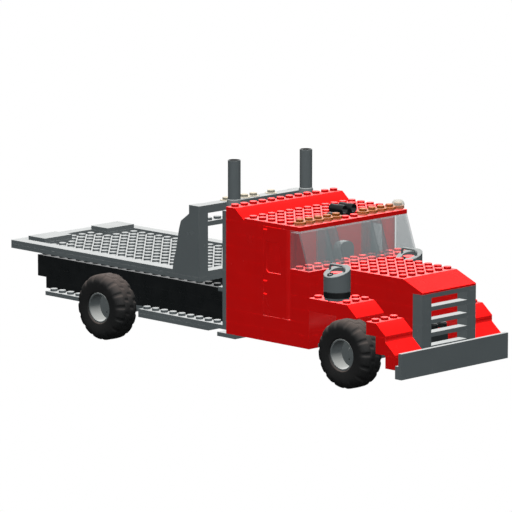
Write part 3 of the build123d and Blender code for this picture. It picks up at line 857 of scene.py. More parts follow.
@dataclass
class Wheel:
    """A rubber tyre with staggered blocks on a deep dished rim."""

    axle: str
    side: Side
    radius: float = 0.02129
    bore: float = 0.0098
    wide: float = 0.017
    shoulder: float = 0.005
    out: float = 0.053
    blocks: int = 15
    groove: float = 0.00055
    row_edge: float = 0.42
    gap_soft: float = 0.025
    ring_wide: float = 0.045
    middle_wide: float = 0.04
    fade_deep: float = 0.0042
    lip: float = 0.0012
    dish_deep: float = 0.009
    turns: int = 272

    @property
    def label(self) -> str:
        """The wheel's place in words."""
        return f"{self.axle}_{self.side.label}"

    def centre(self) -> np.ndarray:
        """The middle of the axle at the truck's centre plane, in metres."""
        low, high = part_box("tyre_" + self.label)
        return np.array([(low.x + high.x) / 2, 0.0, (low.z + high.z) / 2])

    def section(self) -> np.ndarray:
        """The tyre's cross-section as a closed loop of (radius, width share) points.

        It runs up one sidewall, round the shoulder by a quarter circle, across the crown,
        down the other side and back along the bore. The sidewall dishes a little towards the rim.
        """
        half, corner = self.wide / 2, self.shoulder
        wall = np.linspace(0, 1, 12)
        rise = self.bore + (self.radius - corner - self.bore) * wall
        dish = half - 0.0006 * (1 - np.sin(pi * wall / 2))
        side = np.stack([rise, np.minimum(dish, half)], axis=1)
        turn = np.linspace(0, pi / 2, 14)[1:]
        round_off = np.stack([self.radius - corner + corner * np.sin(turn),
                              half - corner + corner * np.cos(turn)], axis=1)
        across = np.linspace(half - corner, 0, 14)[1:]
        crown = np.stack([np.full(len(across), self.radius), across], axis=1)
        right = np.concatenate([[[self.bore, half - self.lip]], side[1:], round_off, crown])
        left = right[::-1][1:] * np.array([1, -1])
        inside = np.linspace(-half + self.lip, half - self.lip, 7)[1:-1]
        inner = np.stack([np.full(len(inside), self.bore), inside], axis=1)
        return np.concatenate([right, left, inner])

    def tread(self, turn: np.ndarray, loop: np.ndarray) -> np.ndarray:
        """How deep the grooves are at each angle and loop point.

        Across the width share w the tread has four rows of blocks. In each row a groove
        opens where the angle, counted in blocks and moved on by half a block from row to
        row, is near a whole number. Narrow grooves run round between the rows. Both fade
        out with the distance below the crown, lower down for the shoulder rows.

        Args:
            turn: angles, one for each column.
            loop: the section's points.

        Returns:
            Depths in metres, one row for each loop point.
        """
        w = loop[:, 1] / (self.wide / 2)
        outer = np.abs(w) > self.row_edge
        phase = np.where(outer ^ (w > 0), 0.0, 0.5)
        lean = np.where(outer, 0.10, 0.22) * w
        count = turn[None, :] * self.blocks / (2 * pi) + phase[:, None] + lean[:, None]
        off = np.abs((count + 0.5) % 1.0 - 0.5)
        half = np.where(outer, 0.13, 0.10)[:, None]
        cross = 1 / (1 + np.exp((off - half) / self.gap_soft))
        between = np.exp(-(((np.abs(w) - self.row_edge) / self.ring_wide) ** 2))
        ring = between * 0.7 + np.exp(-((w / self.middle_wide) ** 2)) * 0.5
        deep = np.maximum(cross * np.where(outer, 1.0, 0.7)[:, None], ring[:, None] * (1 - 0.2 * cross))
        drop = (self.radius - loop[:, 0]) / self.fade_deep
        fade = np.clip(1.35 - drop, 0, 1)
        on_tread = (loop[:, 0] > self.bore + 0.001).astype(float)
        return self.groove * deep * (fade * fade * (3 - 2 * fade) * on_tread)[:, None]

    def tyre(self) -> Piece:
        """The tyre: the section turned about the axle, drawn in where the grooves are.

        A groove moves its point towards a core circle inside the rubber, so that it cuts
        into the shoulder as well as into the crown.
        """
        loop = self.section()
        turn = angles(self.turns)
        depth = self.tread(turn, loop)
        reach = self.wide / 2 - self.shoulder
        core = np.full(len(loop), self.radius - self.shoulder)
        target = np.stack([core, np.clip(loop[:, 1], -reach, reach)], axis=1)
        inward = target - loop
        inward /= np.maximum(np.linalg.norm(inward, axis=1, keepdims=True), 1e-9)
        r = loop[:, :1] + inward[:, :1] * depth
        y = loop[:, 1:] + inward[:, 1:] * depth
        middle = self.out - self.wide / 2
        points = np.stack([r * np.sin(turn), y + middle, r * np.cos(turn)], axis=-1) + self.centre()
        piece = Piece("tread_" + self.label, TYRE, ("tyre_" + self.label,), "wheel_" + self.label)
        piece.surface.add(points, [ring_quads(len(loop), self.turns, True)])
        return piece.on(self.side)

    def rim(self) -> Piece:
        """The rim: a thin barrel round a flat back that lies deep in the dish."""
        rim_out, rim_in = self.out - self.lip, self.out - self.wide + self.lip
        back, shell, soft = rim_out - self.dish_deep, 0.0011, 0.00015
        b, i = self.bore - 0.00002, self.bore - 0.00002 - shell
        loop = np.array([
            (b - soft, rim_in), (b, rim_in + soft), (b, rim_out - soft), (b - soft, rim_out),
            (i + soft, rim_out), (i, rim_out - soft), (i, back),
            (0.0034, back), (0.0031, back + 0.0002), (0.00002, back + 0.0002),
            (0.00002, back - 0.0006), (0.00248, back - 0.0006), (0.00248, back - 0.0026),
            (i - soft, back - 0.0026), (i, back - 0.0026 - soft), (i, rim_in + soft), (i + soft, rim_in)])
        piece = Piece("dish_" + self.label, RIM, ("rim_" + self.label,), "wheel_" + self.label)
        piece.surface.turned(loop, self.centre(), axis=1, sides=72, closed=True)
        return piece.on(self.side)

    def sockets(self) -> Piece:
        """Painted shade for four small holes round the middle of the flat back: small black cups set into
        it.
        """
        piece = Piece("dish_sockets_" + self.label, BLACK, (), "wheel_" + self.label)
        back, spread = self.out - self.lip - self.dish_deep, 0.0048
        cup = np.array([(0.00055, -0.0002), (0.00055, 0.00006), (0.00045, 0.00009)])
        for angle in (62, 118, 242, 298):
            off = np.array([spread * cos(radians(angle)), back, spread * sin(radians(angle))])
            piece.surface.turned(cup, self.centre() + off, axis=1, sides=16)
        return piece.on(self.side)

    def build(self) -> list[Piece]:
        """The tyre, the rim and the painted shade of its four holes."""
        return [self.tyre(), self.rim(), self.sockets()]


# ---- bed -----------------------------------------------------------------------------------


@dataclass
class Bed:
    """The studded deck with its tiles round the edge and the low blocks at the tail."""

    front: float = 21.0
    back: float = 43.0
    low: float = 11.0

    def deck(self) -> Piece:
        """Plates side by side, studded between the rails."""
        joints = [self.front, 27, 33, 39, self.back]
        rows = [[a, b, y, y + 6, self.low, self.low + 1]
                for a, b in zip(joints[:-1], joints[1:]) for y in (-6, 0)]
        studs = spots(22, 40, -5, 5, self.low + 1) + spots(40, 42, -2, 2, self.low + 1)
        return bricks("deck_plates", GREY, "bed_deck", rows, studs)

    def rails(self) -> Piece:
        """Smooth tiles along both sides and across the tail."""
        level = self.low + 1
        rows = both([[a, b, 5, 6, level, level + 1] for a, b in ((24, 32), (32, 40), (40, 43))])
        rows += [[42, 43, a, b, level, level + 1] for a, b in ((-5, -4), (-4, 4), (4, 5))]
        return bricks("rail_tiles", GREY, "bed_rails", rows, cut=TILE_EDGE)

    def tail_blocks(self) -> Piece:
        """Two plates high at each corner of the tail, the upper one smooth."""
        rows = both([[40, 42, 2, 5, level, level + 1] for level in (self.low + 1, self.low + 2)])
        return bricks("tail_tiles", GREY, "bed_blocks", rows, cut=TILE_EDGE)

    def build(self) -> list[Piece]:
        """Every piece of the bed."""
        return [self.deck(), self.rails(), self.tail_blocks()]


@dataclass
class Headboard:
    """The frame at the front of the bed: two shaped side panels, three bars and lamps."""

    front: float = 21.0
    low: float = 12.0
    top: float = 29.0
    neck: float = 24.9
    middle: float = 25.1125
    lamps_at: tuple[float, ...] = (-2.5, -0.5, 0.5, 2.5)
    lamp_high: float = 0.25

    def panels(self) -> Piece:
        """The side panels, whose back edge narrows in a long curve to a neck."""
        f = self.front
        outline = [(f, self.low), (f, self.top), (f + 1.12, self.top), (f + 1.12, self.neck + 2),
                   (f + 2.04, self.neck), (f + 2.15, 23.9), (f + 2.27, 22.7), (f + 2.4, 20.7),
                   (f + 2.6, 17.75), (f + 2.86, 15.3), (f + 3, 13), (f + 3, self.low)]
        piece = Piece("headboard_panels", GREY, ("headboard_posts",))
        for y0, y1 in ((0.040, 0.048), (-0.048, -0.040)):
            piece.surface.carried(GRID.side(outline), y0, y1, cut=TILE_EDGE)
        return piece

    def bars(self) -> Piece:
        """The top bar, the studded middle bar and the sill."""
        f = self.front
        rows = [[f, f + 1, a, b, 27.1, self.top] for a, b in ((-5, 1), (1, 5))]
        rows += [[f, f + 1, a, b, 24, self.middle] for a, b in ((-5, -1), (-1, 5))]
        rows += [[f, f + 1, a, b, self.low, 13.3] for a, b in ((-5, 1), (1, 5))]
        studs = spots(f, f + 1, -5, 5, self.middle)
        return bricks("headboard_tiles", GREY, "headboard_bars", rows, studs)

    def lamps(self) -> Piece:
        """The straw-coloured round lamps along the top."""
        piece = Piece("headboard_lenses", YELLOW, ("headboard_lamps",))
        for y in self.lamps_at:
            lens(piece.surface, self.front + 0.5, y, self.top, self.lamp_high)
        return piece

    def build(self) -> list[Piece]:
        """Every piece of the headboard."""
        return [self.panels(), self.bars(), self.lamps()]


def lens(surface: Surface, back: float, y: float, level: float, high: float = 1.0) -> None:
    """Add a one-stud round lamp: a wide round on a narrower foot, with a stud on top.

    Args:
        surface: what it is added to.
        back: place along the truck, in studs.
        y: place across, in studs.
        level: the level that it stands on.
        high: the round's height, in plates.
    """
    p, r, k, soft = GRID.plate * high, 0.0039, GRID.knob_radius, 0.00018 * high
    foot = 0.26 * p
    profile = [(0.0031, 0), (0.0031, foot), (r - soft, foot), (r, foot + soft), (r, p - soft),
               (r - soft, p), (k, p), (k, p + GRID.knob_high - 0.00018), (k - 0.00018, p + GRID.knob_high)]
    surface.turned(np.array(profile), GRID.at(back, y, level), sides=32)


@dataclass
class Stack:
    """One upright exhaust: a plain pipe, a fluted collar and an open end."""

    side: Side
    back: float = 19.1
    y: float = 4.0
    radius: float = 0.004
    collar: float = 0.0052
    bore: float = 0.0028

    def build(self) -> list[Piece]:
        """The foot and the pipe, with painted shade in its open end: a dull black sleeve down the bore,
        closed below, with a rim over the top of the wall.
        """
        label = self.side.label
        piece = Piece("exhaust_" + label, GREY, ("stack_" + label,))
        piece.surface.blocks([[18.45, 19.9, *self.side.span(3, 5), 9, 10]])
        z = [GRID.z(level) for level in (10, 27, 30.8, 40)]
        r, c, b, soft = self.radius, self.collar, self.bore, 0.00006
        profile = np.array([
            (r, z[0], 0, 0), (r, z[1] - 0.0004, 0, 0), (r + 0.0003, z[1], 0, 0),
            (c - 0.0002, z[1], 0, 0), (c, z[1] + 0.0002, 0, 0.0002), (c, z[1] + 0.004, 0, 0.0002),
            (r + 0.0004, z[2] - 0.0004, 0, 0.0001),
            (r, z[2], 0, 0), (r, z[3] - soft, 0, 0), (r - soft, z[3] - 0.00002, 0, 0),
            (b + soft, z[3] - 0.00002, 0, 0), (b, z[3] - soft, 0, 0), (b, z[2] + 0.001, 0, 0)])
        centre = (GRID.x(self.back), GRID.y(self.y * self.side.value), 0.0)
        piece.surface.turned(profile, centre, sides=96, ridges=24)
        # Painted shade: a dull black sleeve in the open end stands in for the dark inside the pipe.
        pipe_shade = Piece("exhaust_lining_" + label, PIPE_SHADE_BLACK)
        lip = r - 0.0004
        inside = np.array([(b + 0.0001, z[2] + 0.002), (b + 0.0001, z[3] - 0.0004), (lip, z[3] - 0.0004),
                           (lip, z[3]), (b - 0.0003, z[3]),
                           (b - 0.0003, z[2] + 0.0022), (0.0001, z[2] + 0.0022), (0.0001, z[2] + 0.002)])
        pipe_shade.surface.turned(inside, centre, sides=40, closed=True)
        return [piece, pipe_shade]


# ---- cab -----------------------------------------------------------------------------------


@dataclass
class Cab:
    """The red shell of the cab with its floor, grey back panel, cowl and seat."""

    front: float = 9.0
    back: float = 18.0
    half: float = 6.0
    door_front: float = 11.0
    door_back: float = 13.9625
    top: float = 27.0
    hood_top: float = 18.0
    sill: float = 6.0

    def side(self, side: Side) -> Piece:
        """The wall round the door opening, laid in courses."""
        y0, y1 = side.span(self.half - 1, self.half)
        rows = courses(self.front, self.back, y0, y1, 0, self.sill, shift=1)
        rows += courses(self.door_back, self.back, y0, y1, self.sill, self.top)
        rows += courses(self.front, self.door_front, y0, y1, self.sill, self.hood_top - 1)
        label = side.label
        return bricks("cab_bricks_" + label, RED, "cab_side_" + label, rows)

    def inner_walls(self) -> Piece:
        """The wall behind the seats and the one under the windscreen."""
        rows = courses(self.back - 1, self.back, -5, 5, 1, self.top, across=True)
        rows += courses(self.front, self.front + 1, -5, 5, 1, self.hood_top - 1, across=True)
        return bricks("cab_wall_bricks", RED, "cab_walls", rows)

    def floor(self) -> Piece:
        """The floor plates."""
        rows = both([[9, 13, 0, 5, 0, 1], [13, 18, 0, 5, 0, 1]])
        return bricks("cab_floor_plates", GREY, "cab_floor", rows)

    def back_panel(self) -> Piece:
        """The thin grey panels over the back of the cab."""
        rows = both([[18, 18.4, 0, 6, a, b] for a, b in ((1, 15), (15, 29))])
        return bricks("cab_back_tiles", GREY, "cab_back_panel", rows, cut=0.00003)

    def cowl(self) -> Piece:
        """The studded plates below the windscreen."""
        return bricks("cowl_plates", RED, "cowl", both([[9, 11, 0, 6, 17, 18]]),
                      spots(9, 11, -6, 6, 18))

    def seat(self) -> Piece:
        """The driver's seat: a base and a rest with rounded upper corners."""
        piece = Piece("driver_seat", GREY, ("seats",))
        near, far, inset = 2.7, 4.7, 0.17
        piece.surface.blocks([[12.4, 15, near, far, 1, 7], [12.4, 14.3, near, far, 7, 8]])
        low, high = GRID.z(7), GRID.z(19.6)
        a, b = GRID.y(near + inset), GRID.y(far - inset)
        rest = rounded([(a, low), (b, low), (b, high), (a, high)], [0, 0, 0.005, 0.005], 8)
        keep = np.concatenate([[True], np.linalg.norm(np.diff(rest, axis=0), axis=1) > 1e-6])
        piece.surface.carried(rest[keep], GRID.x(14.3), GRID.x(15), Carry.ALONG)
        return piece

    def build(self) -> list[Piece]:
        """Every fixed piece of the cab."""
        return [self.side(Side.LEFT), self.side(Side.RIGHT), self.inner_walls(), self.floor(),
                self.back_panel(), self.cowl(), self.seat()]


@dataclass
class Door:
    """A door that turns on the upright roll at its front edge, with an open window."""

    side: Side
    pivot_back: float = 11.50625
    pivot_y: float = 5.509375
    roll: float = 0.0039
    back: float = 13.9
    low: float = 6.01
    top: float = 26.99
    window: tuple[float, float, float, float] = (12.04125, 13.6, 16.3, 23.5)
    skin: float = 0.0007
    catches: tuple[float, ...] = (26.15, 14.15, 11.05)
    catch_span: tuple[float, float] = (13.88, 13.5)
    rebate: float = 0.002

    def build(self) -> list[Piece]:
        """The roll and the frame round the window, rebated behind its outer skin."""
        label = self.side.label
        piece = Piece("door_leaf_" + label, RED, ("door_" + label,), "door_" + label)
        pivot = np.array([GRID.x(self.pivot_back), GRID.y(self.pivot_y)])
        outer = pivot[1] + self.roll
        front_edge = GRID.x(self.window[0] - 0.001)
        arc = np.linspace(pi / 2, -pi, 30)
        turn = np.stack([pivot[0] + self.roll * np.cos(arc), pivot[1] + self.roll * np.sin(arc)], axis=1)
        plan = np.concatenate([[[front_edge, pivot[1]], [front_edge, outer]], turn])
        piece.surface.carried(plan, GRID.z(self.low), GRID.z(self.top), Carry.UP)
        x0, x1 = front_edge + 0.0003, GRID.x(self.back)
        w0, w1 = GRID.x(self.window[0]), GRID.x(self.window[1])
        z0, z1, w2, w3 = (GRID.z(v) for v in (self.low, self.top, self.window[2], self.window[3]))
        steps = 6
        frame_out = rounded([(x0, z0), (x1, z0), (x1, z1), (x0, z1)], [1e-6] * 4, steps)
        head, wide, radii = w0 - 0.25 * GRID.stud, self.rebate, [0.0004, 0.0024, 0.0004, 0.0004]
        sill = rounded([(w0, w2), (w1, w2), (w1, w3), (head, w3)], radii, steps)
        w1, w2, w3 = w1 - 0.0015, w2 - wide, w3 + wide
        inner = rounded([(w0, w2), (w1, w2), (w1, w3), (head, w3)], radii, steps)
        piece.surface.framed(frame_out, sill, outer - self.skin, outer)
        piece.surface.framed(frame_out, inner, pivot[1], outer - self.skin)
        for level in self.catches:
            z = GRID.z(level)
            wedge = np.array([(outer - 0.0001, z), (outer + 0.0005, z), (outer - 0.0001, z + 0.0008)])
            piece.surface.carried(wedge, *(GRID.x(b) for b in self.catch_span), Carry.ALONG)
        return [piece.on(self.side)]


@dataclass
class Windscreen:
    """Five clear shells side by side, each with a sloped front, two sides and a top."""

    joints: tuple[float, ...] = (-6, -3, -2, 2, 3, 6)
    wall: float = 0.0014
    lean: float = 1.06
    seam: float = 0.00004
    low: float = 18.0
    kink: float = 18.65
    top: float = 27.0

    def build(self) -> list[Piece]:
        """The walls of all shells; the sloped one is thicker along the truck by its lean."""
        piece = Piece("windscreen_panes", GLASS, ("windscreen",))
        s = self.wall / GRID.stud * self.lean
        cap = self.top - self.wall / GRID.plate
        inner = 10 + s - (self.top - cap) / (self.top - self.kink)
        front = GRID.side([(9, self.low), (9, self.kink), (10, self.top), (10 + s, self.top),
                           (9 + s, self.kink), (9 + s, self.low)])
        roof = GRID.side([(10 + s, self.top), (11, self.top), (11, cap), (inner, cap)])
        flank = GRID.side([(9 + s, self.low), (9 + s, self.kink), (inner, cap), (11, cap), (11, self.low)])
        for left, right in zip(self.joints[:-1], self.joints[1:]):
            y0 = GRID.y(left) + (self.seam / 2 if left > -6 else 0)
            y1 = GRID.y(right) - (self.seam / 2 if right < 6 else 0)
            piece.surface.carried(front, y0, y1).carried(roof, y0, y1)
            piece.surface.carried(flank, y0, y0 + self.wall).carried(flank, y1 - self.wall, y1)
        return [piece]


@dataclass
class Roof:
    """The studded roof plates, the sleeper's slope, marker lamps, dome and horns."""

    lamps_back: float = 10.5
    lamps_at: tuple[float, ...] = (1.5, 2.5, 3.5, 4.5, 5.5)

    def plates(self) -> Piece:
        """The plates over the cab, studded except under the lamps and the horns."""
        studs = [s for s in spots(11, 16, -6, 6, 28) if not (abs(s[1]) < 1 and s[0] < 12)]
        return bricks("roof_plates", RED, "roof_plate", both([[10, 16, 0, 6, 27, 28]]),
                      studs + spots(10, 11, -1, 1, 28))

    def sleeper(self) -> Piece:
        """Slopes side by side, with one row of studs behind them."""
        piece = Piece("sleeper_slopes", RED, ("sleeper_top",))
        outline = GRID.side([(18, 27), (18, 30), (17, 30), (16, 27.5), (16, 27)])
        for y in (-6, -2, 2):
            piece.surface.carried(outline, GRID.y(y), GRID.y(y + 4))
        piece.surface.knobs(spots(17, 18, -6, 6, 30))
        return piece

    def markers(self) -> Piece:
        """Ten orange round lamps along the front edge."""
        piece = Piece("marker_lenses", ORANGE, ("roof_markers",))
        for y in self.lamps_at:
            lens(piece.surface, self.lamps_back, y, 28)
            lens(piece.surface, self.lamps_back, -y, 28)
        return piece

    def dome(self) -> Piece:
        """The clear dome over the last marker of the left side: a ball cut flat, hollow
        below where it sits over the stud."""
        piece = Piece("marker_dome", DOME, ("roof_dome",))
        ball, cap = 0.0041, 0.0032
        turn = np.linspace(0, np.arcsin(cap / ball), 12)
        outside = np.stack([ball * np.cos(turn), ball * np.sin(turn)], axis=1)
        hollow = [(0.0001, 0.0018), (0.0025, 0.0018), (0.0025, 0)]
        profile = np.concatenate([hollow, outside, [(0.0001, cap)]])
        piece.surface.turned(profile, GRID.at(self.lamps_back, self.lamps_at[-1], 29), sides=40)
        return piece

    def horns(self) -> Piece:
        """Two black horns on a two-stud plate, open to the front."""
        piece = Piece("horn_pair", BLACK, ("roof_horn",))
        piece.surface.blocks([[11, 12, -1, 1, 28, 29]])
        r, b, soft = 0.0029, 0.0021, 0.0002
        end = GRID.x(10.5) - GRID.x(12)
        profile = np.array([(r - 0.0006, 0), (r - 0.0002, 0.0004), (r - 0.0002, end * 0.55),
                            (r, end * 0.62), (r, end - soft), (r - soft, end), (b + soft, end),
                            (b, end - soft),
                            (b - 0.0003, end - 0.0035), (0.0008, end - 0.0045)])
        for y in (0.5, -0.5):
            foot = GRID.at(12, y, 29) + [0, 0, 0.0026]
            piece.surface.turned(profile, foot, axis=0, sides=36)
        return piece

    def build(self) -> list[Piece]:
        """Every piece of the roof."""
        return [self.plates(), self.sleeper(), self.markers(), self.dome(), self.horns()]


# ---- hood ----------------------------------------------------------------------------------


@dataclass
class Hood:
    """The long hood: studded top, sloped nose and side walls."""

    cab: float = 9.0

    def plates(self) -> Piece:
        """The studded plates on top."""
        rows = [[2, 5, -3, 3, 17, 18], [5, self.cab, -3, 3, 17, 18]]
        return bricks("hood_plates", RED, "hood_top", rows, spots(2, self.cab, -3, 3, 18))

    def nose(self) -> Piece:
        """Slopes side by side over the grille."""
        piece = Piece("nose_slopes", RED, ("hood_nose",))
        outline = GRID.side([(0, 15), (0, 15.5), (2, 18), (2, 15)])
        for y in (-3, -1, 1):
            piece.surface.carried(outline, GRID.y(y), GRID.y(y + 2))
        return piece

    def walls(self) -> Piece:
        """The side walls, laid in courses and open over the axle block."""
        ahead, behind = GRID.reach(*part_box("axle_front"))
        rows = [[1, ahead, 2, 3, 1, 3], [behind, self.cab, 2, 3, 1, 3]]
        rows += courses(1, self.cab, 2, 3, 3, 15) + courses(2, self.cab, 2, 3, 15, 17, high=2, shift=1)
        return bricks("hood_bricks", RED, "hood_sides", both(rows))

    def build(self) -> list[Piece]:
        """Every piece of the hood."""
        return [self.plates(), self.nose(), self.walls()]


# Where each canister stands: studs behind the grille face, and studs outwards.
CAN_PLACES: dict[Side, tuple[float, float]] = {Side.LEFT: (7.95, 4.05), Side.RIGHT: (7.0, 5.0)}


@dataclass
class Fender:
    """One stepped front fender: slopes falling to the bumper, an arch over the wheel."""

    side: Side
    arch: float = 9.0
    can_reach: float = 1.3575

    def build(self) -> list[Piece]:
        """The slopes and the studs around the canister."""
        label = self.side.label
        piece = Piece("fender_slopes_" + label, RED, ("fender_" + label,))
        a = self.arch
        outlines = [
            [(9, a), (9, a + 3), (5, a + 3), (4, a + 0.5), (4, a)],
            [(3, a - 3), (3, a), (2, a), (1, a - 2.5), (1, a - 3)],
            [(2, 2), (2, a - 3), (1, a - 3), (1, a - 4), (0, a - 6.5), (0, 2)],
            [(0, -1), (0, 2), (1, 2), (1, -1)],
        ]
        y0, y1 = GRID.y(3), GRID.y(6)
        for outline in outlines:
            piece.surface.carried(GRID.side(outline), y0, y1)
        can_back, can_y = CAN_PLACES[self.side]
        places = [s for s in spots(5, 9, 3, 6, a + 3)
                  if np.hypot(s[0] - can_back, s[1] - can_y) > self.can_reach]
        piece.surface.knobs(places + spots(2, 3, 3, 6, a))
        return [piece.on(self.side)]


@dataclass
class Canisters:
    """The two round canisters on the fenders: notched foot, black band, drum with a slanted
    face, red plug, bail and a loose ring."""

    level: float = 12.0
    radius: float = 0.0083
    slant: float = radians(19)
    pit: float = 0.0044
    pit_deep: float = 0.0026
    band_low: float = 0.7 * GRID.plate
    band_top: float = 2.1 * GRID.plate
    top: float = 6.75 * GRID.plate

    def _centres(self) -> list[np.ndarray]:
        """The middle of each foot, in metres."""
        return [GRID.at(back, y * side.value, self.level) for side, (back, y) in CAN_PLACES.items()]

    def feet(self) -> Piece:
        """Feet with eight notches, drawn in below the band."""
        piece = Piece("canister_foot_rings", GREY, ("canister_feet",))
        r, notch = self.radius - 0.0005, 0.0012
        profile = np.array([(r - 0.0002, 0, 0, notch), (r, 0.0002, 0, notch), (r, 0.0014, 0, notch),
                            (r, 0.0016, 0, 0), (r, self.band_low, 0, 0)])
        for centre in self._centres():
            piece.surface.turned(profile, centre, sides=96, ridges=8)
        return piece

    def bands(self) -> Piece:
        """Black bands."""
        piece = Piece("canister_black_bands", BLACK, ("canister_bands",))
        low, high, r, soft = self.band_low, self.band_top, self.radius, 0.0002
        profile = np.array([(r - soft, low), (r, low + soft), (r, high - soft), (r - soft, high)])
        for centre in self._centres():
            piece.surface.turned(profile, centre, sides=64)
        return piece

    def drums(self) -> Piece:
        """Drums whose top face falls towards the right, with a pit and a bail over it."""
        piece = Piece("canister_slant_drums", GREY, ("canister_drums",))
        low, top, r, soft, floor = self.band_top, self.top, self.radius, 0.0003, self.top - self.pit_deep
        profile = np.array([
            (r - 0.0002, low, 0), (r, low + 0.0002, 0), (r, top - soft, 1), (r - soft, top, 1),
            (self.pit + 0.0002, top, 1), (self.pit, top - 0.0002, 1), (self.pit, floor, 0),
            (0.0002, floor, 0)])
        half, high, bar, bend = 0.006, 0.0034, 0.00075, 0.0018
        turn = np.linspace(0, pi / 2, 9)
        left = np.stack([-half + bend * (1 - np.cos(turn)), high - bend + bend * np.sin(turn)], axis=1)
        flat = np.concatenate([[(-half, -0.0013), (-half, 0.0)], left, (left * [-1, 1])[::-1],
                               [(half, 0.0), (half, -0.0013)]])
        path = np.column_stack([flat[:, 0], np.zeros(len(flat)), flat[:, 1]])
        for centre in self._centres():
            piece.surface.turned(profile, centre, sides=72, slope=tan(self.slant))
            piece.surface.tube(path + centre + np.array([0, 0, top]), bar, (0, 1, 0))
        return piece

    def plugs(self) -> Piece:
        """Red plugs in the pits."""
        piece = Piece("canister_red_plugs", RED, ("canister_plugs",))
        floor, r = self.top - self.pit_deep, self.pit - 0.0003
        profile = np.array([(r, 0), (r, 0.00135), (r - 0.00025, 0.0016)])
        for centre in self._centres():
            piece.surface.turned(profile, centre + np.array([0, 0, floor]), sides=40)
        return piece

    def rings(self) -> Piece:
        """A small black ring lying on the low side of each slanted face: a round bar bent
        into a circle in the plane of the face."""
        piece = Piece("canister_rings", BLACK)
        turn, around, big, bar, a = angles(32), angles(10), 0.0016, 0.00045, self.slant
        u, v, n = np.array([[1.0, 0, 0], [0, cos(a), sin(a)], [0, -sin(a), cos(a)]])
        for centre in self._centres():
            middle = centre + np.array([0.0002, 0, self.top]) - v * 0.0064 + n * (bar + 0.0001)
            spoke = u[None, :] * np.cos(turn)[:, None] + v[None, :] * np.sin(turn)[:, None]
            points = middle + spoke[:, None] * (big + bar * np.cos(around))[None, :, None] \
                + n * (bar * np.sin(around))[None, :, None]
            piece.surface.add(points, [ring_quads(32, 10, True)])
        return piece

    def build(self) -> list[Piece]:
        """Every piece of the two canisters."""
        return [self.feet(), self.bands(), self.drums(), self.plugs(), self.rings()]


@dataclass
class Front:
    """The grille, its slats, the engine behind them and the bumper."""

    slat: float = 0.8
    nose_front: float = 1.75
    nose_top: float = 4.2
    nose_cap: float = 0.8
    nose_spots: tuple[tuple[float, float], ...] = ((2.05, 0.35), (2.0, 1.3))

    def grille(self) -> Piece:
        """The posts and the header round the slats."""
        rows = both(courses(0, 1, 2, 3, -1, 15)) + [[0, 1, -2, 2, 14, 15]]
        return bricks("grille_bricks", GREY, "grille_frame", rows)

    def slats(self) -> Piece:
        """Four smooth slats."""
        rows = [[0, self.slat, -2, 2, level, level + 1] for level in (2, 5, 8, 11)]
        return bricks("grille_tiles", GREY, "grille_slats", rows, cut=TILE_EDGE)

    def engine(self) -> list[Piece]:
        """The engine block under two rows of round heads, black below and dark red above, and
        the block and rounds that stand ahead of it behind the slats."""
        front, back = GRID.reach(*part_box("engine_block"))
        block = bricks("engine_bricks", GREY, "engine_block",
                       [[front, front + 1.5, -1, 1, 1, 3], [front, back, -1.5, 1.5, 3, 6]])
        heads = Piece("engine_round_heads", BLACK, ("engine_heads",))
        caps = Piece("engine_head_caps", DARK_RED)
        p, r = GRID.plate, 0.0034
        head = np.array([(r - 0.0002, 0), (r, 0.0002), (r, p - 0.0002), (r - 0.0005, p - 0.00005),
                         (r - 0.0005, p * 1.2)])
        cap = np.array([(r - 0.0008, p * 1.2), (r, p * 1.3), (r, 2 * p - 0.0002), (r - 0.0002, 2 * p)])
        for y in (0.5, -0.5):
            for step in (0.5, 1.5, 2.5):
                centre = GRID.at(front + step, y, 6)
                heads.surface.turned(head, centre, sides=28)
                caps.surface.turned(cap, centre, sides=28)
        # The block ahead of the engine wears painted shade: the darker grey stands in for the shade behind
        # the slats.
        nose = Piece("engine_nose_bricks", SHADED)
        nose.surface.blocks([[self.nose_front, front, -1.2, 1.8, 1, self.nose_top]])
        knobs, studs = Piece("engine_nose_heads", BLACK), Piece("engine_nose_caps", DARK_RED)
        for step, y in self.nose_spots:
            knobs.surface.turned(head, GRID.at(step, y, self.nose_top + 1), sides=28)
            studs.surface.turned(cap * [self.nose_cap, 1], GRID.at(step, y, self.nose_top), sides=28)
        return [block, heads, caps, nose, knobs, studs]

    def bumper(self) -> Piece:
        """Two layers of plates on edge."""
        layer = 1 / 3
        rows = [[-layer, -2 * layer, -6, 6, -3, 3], [0, -layer, -6, 6, -3, 0]]
        return bricks("bumper_plates", GREY, "bumper", rows, cut=TILE_EDGE)

    def build(self) -> list[Piece]:
        """Every piece of the front."""
        return [self.grille(), self.slats(), *self.engine(), self.bumper()]


# ---- studio --------------------------------------------------------------------------------


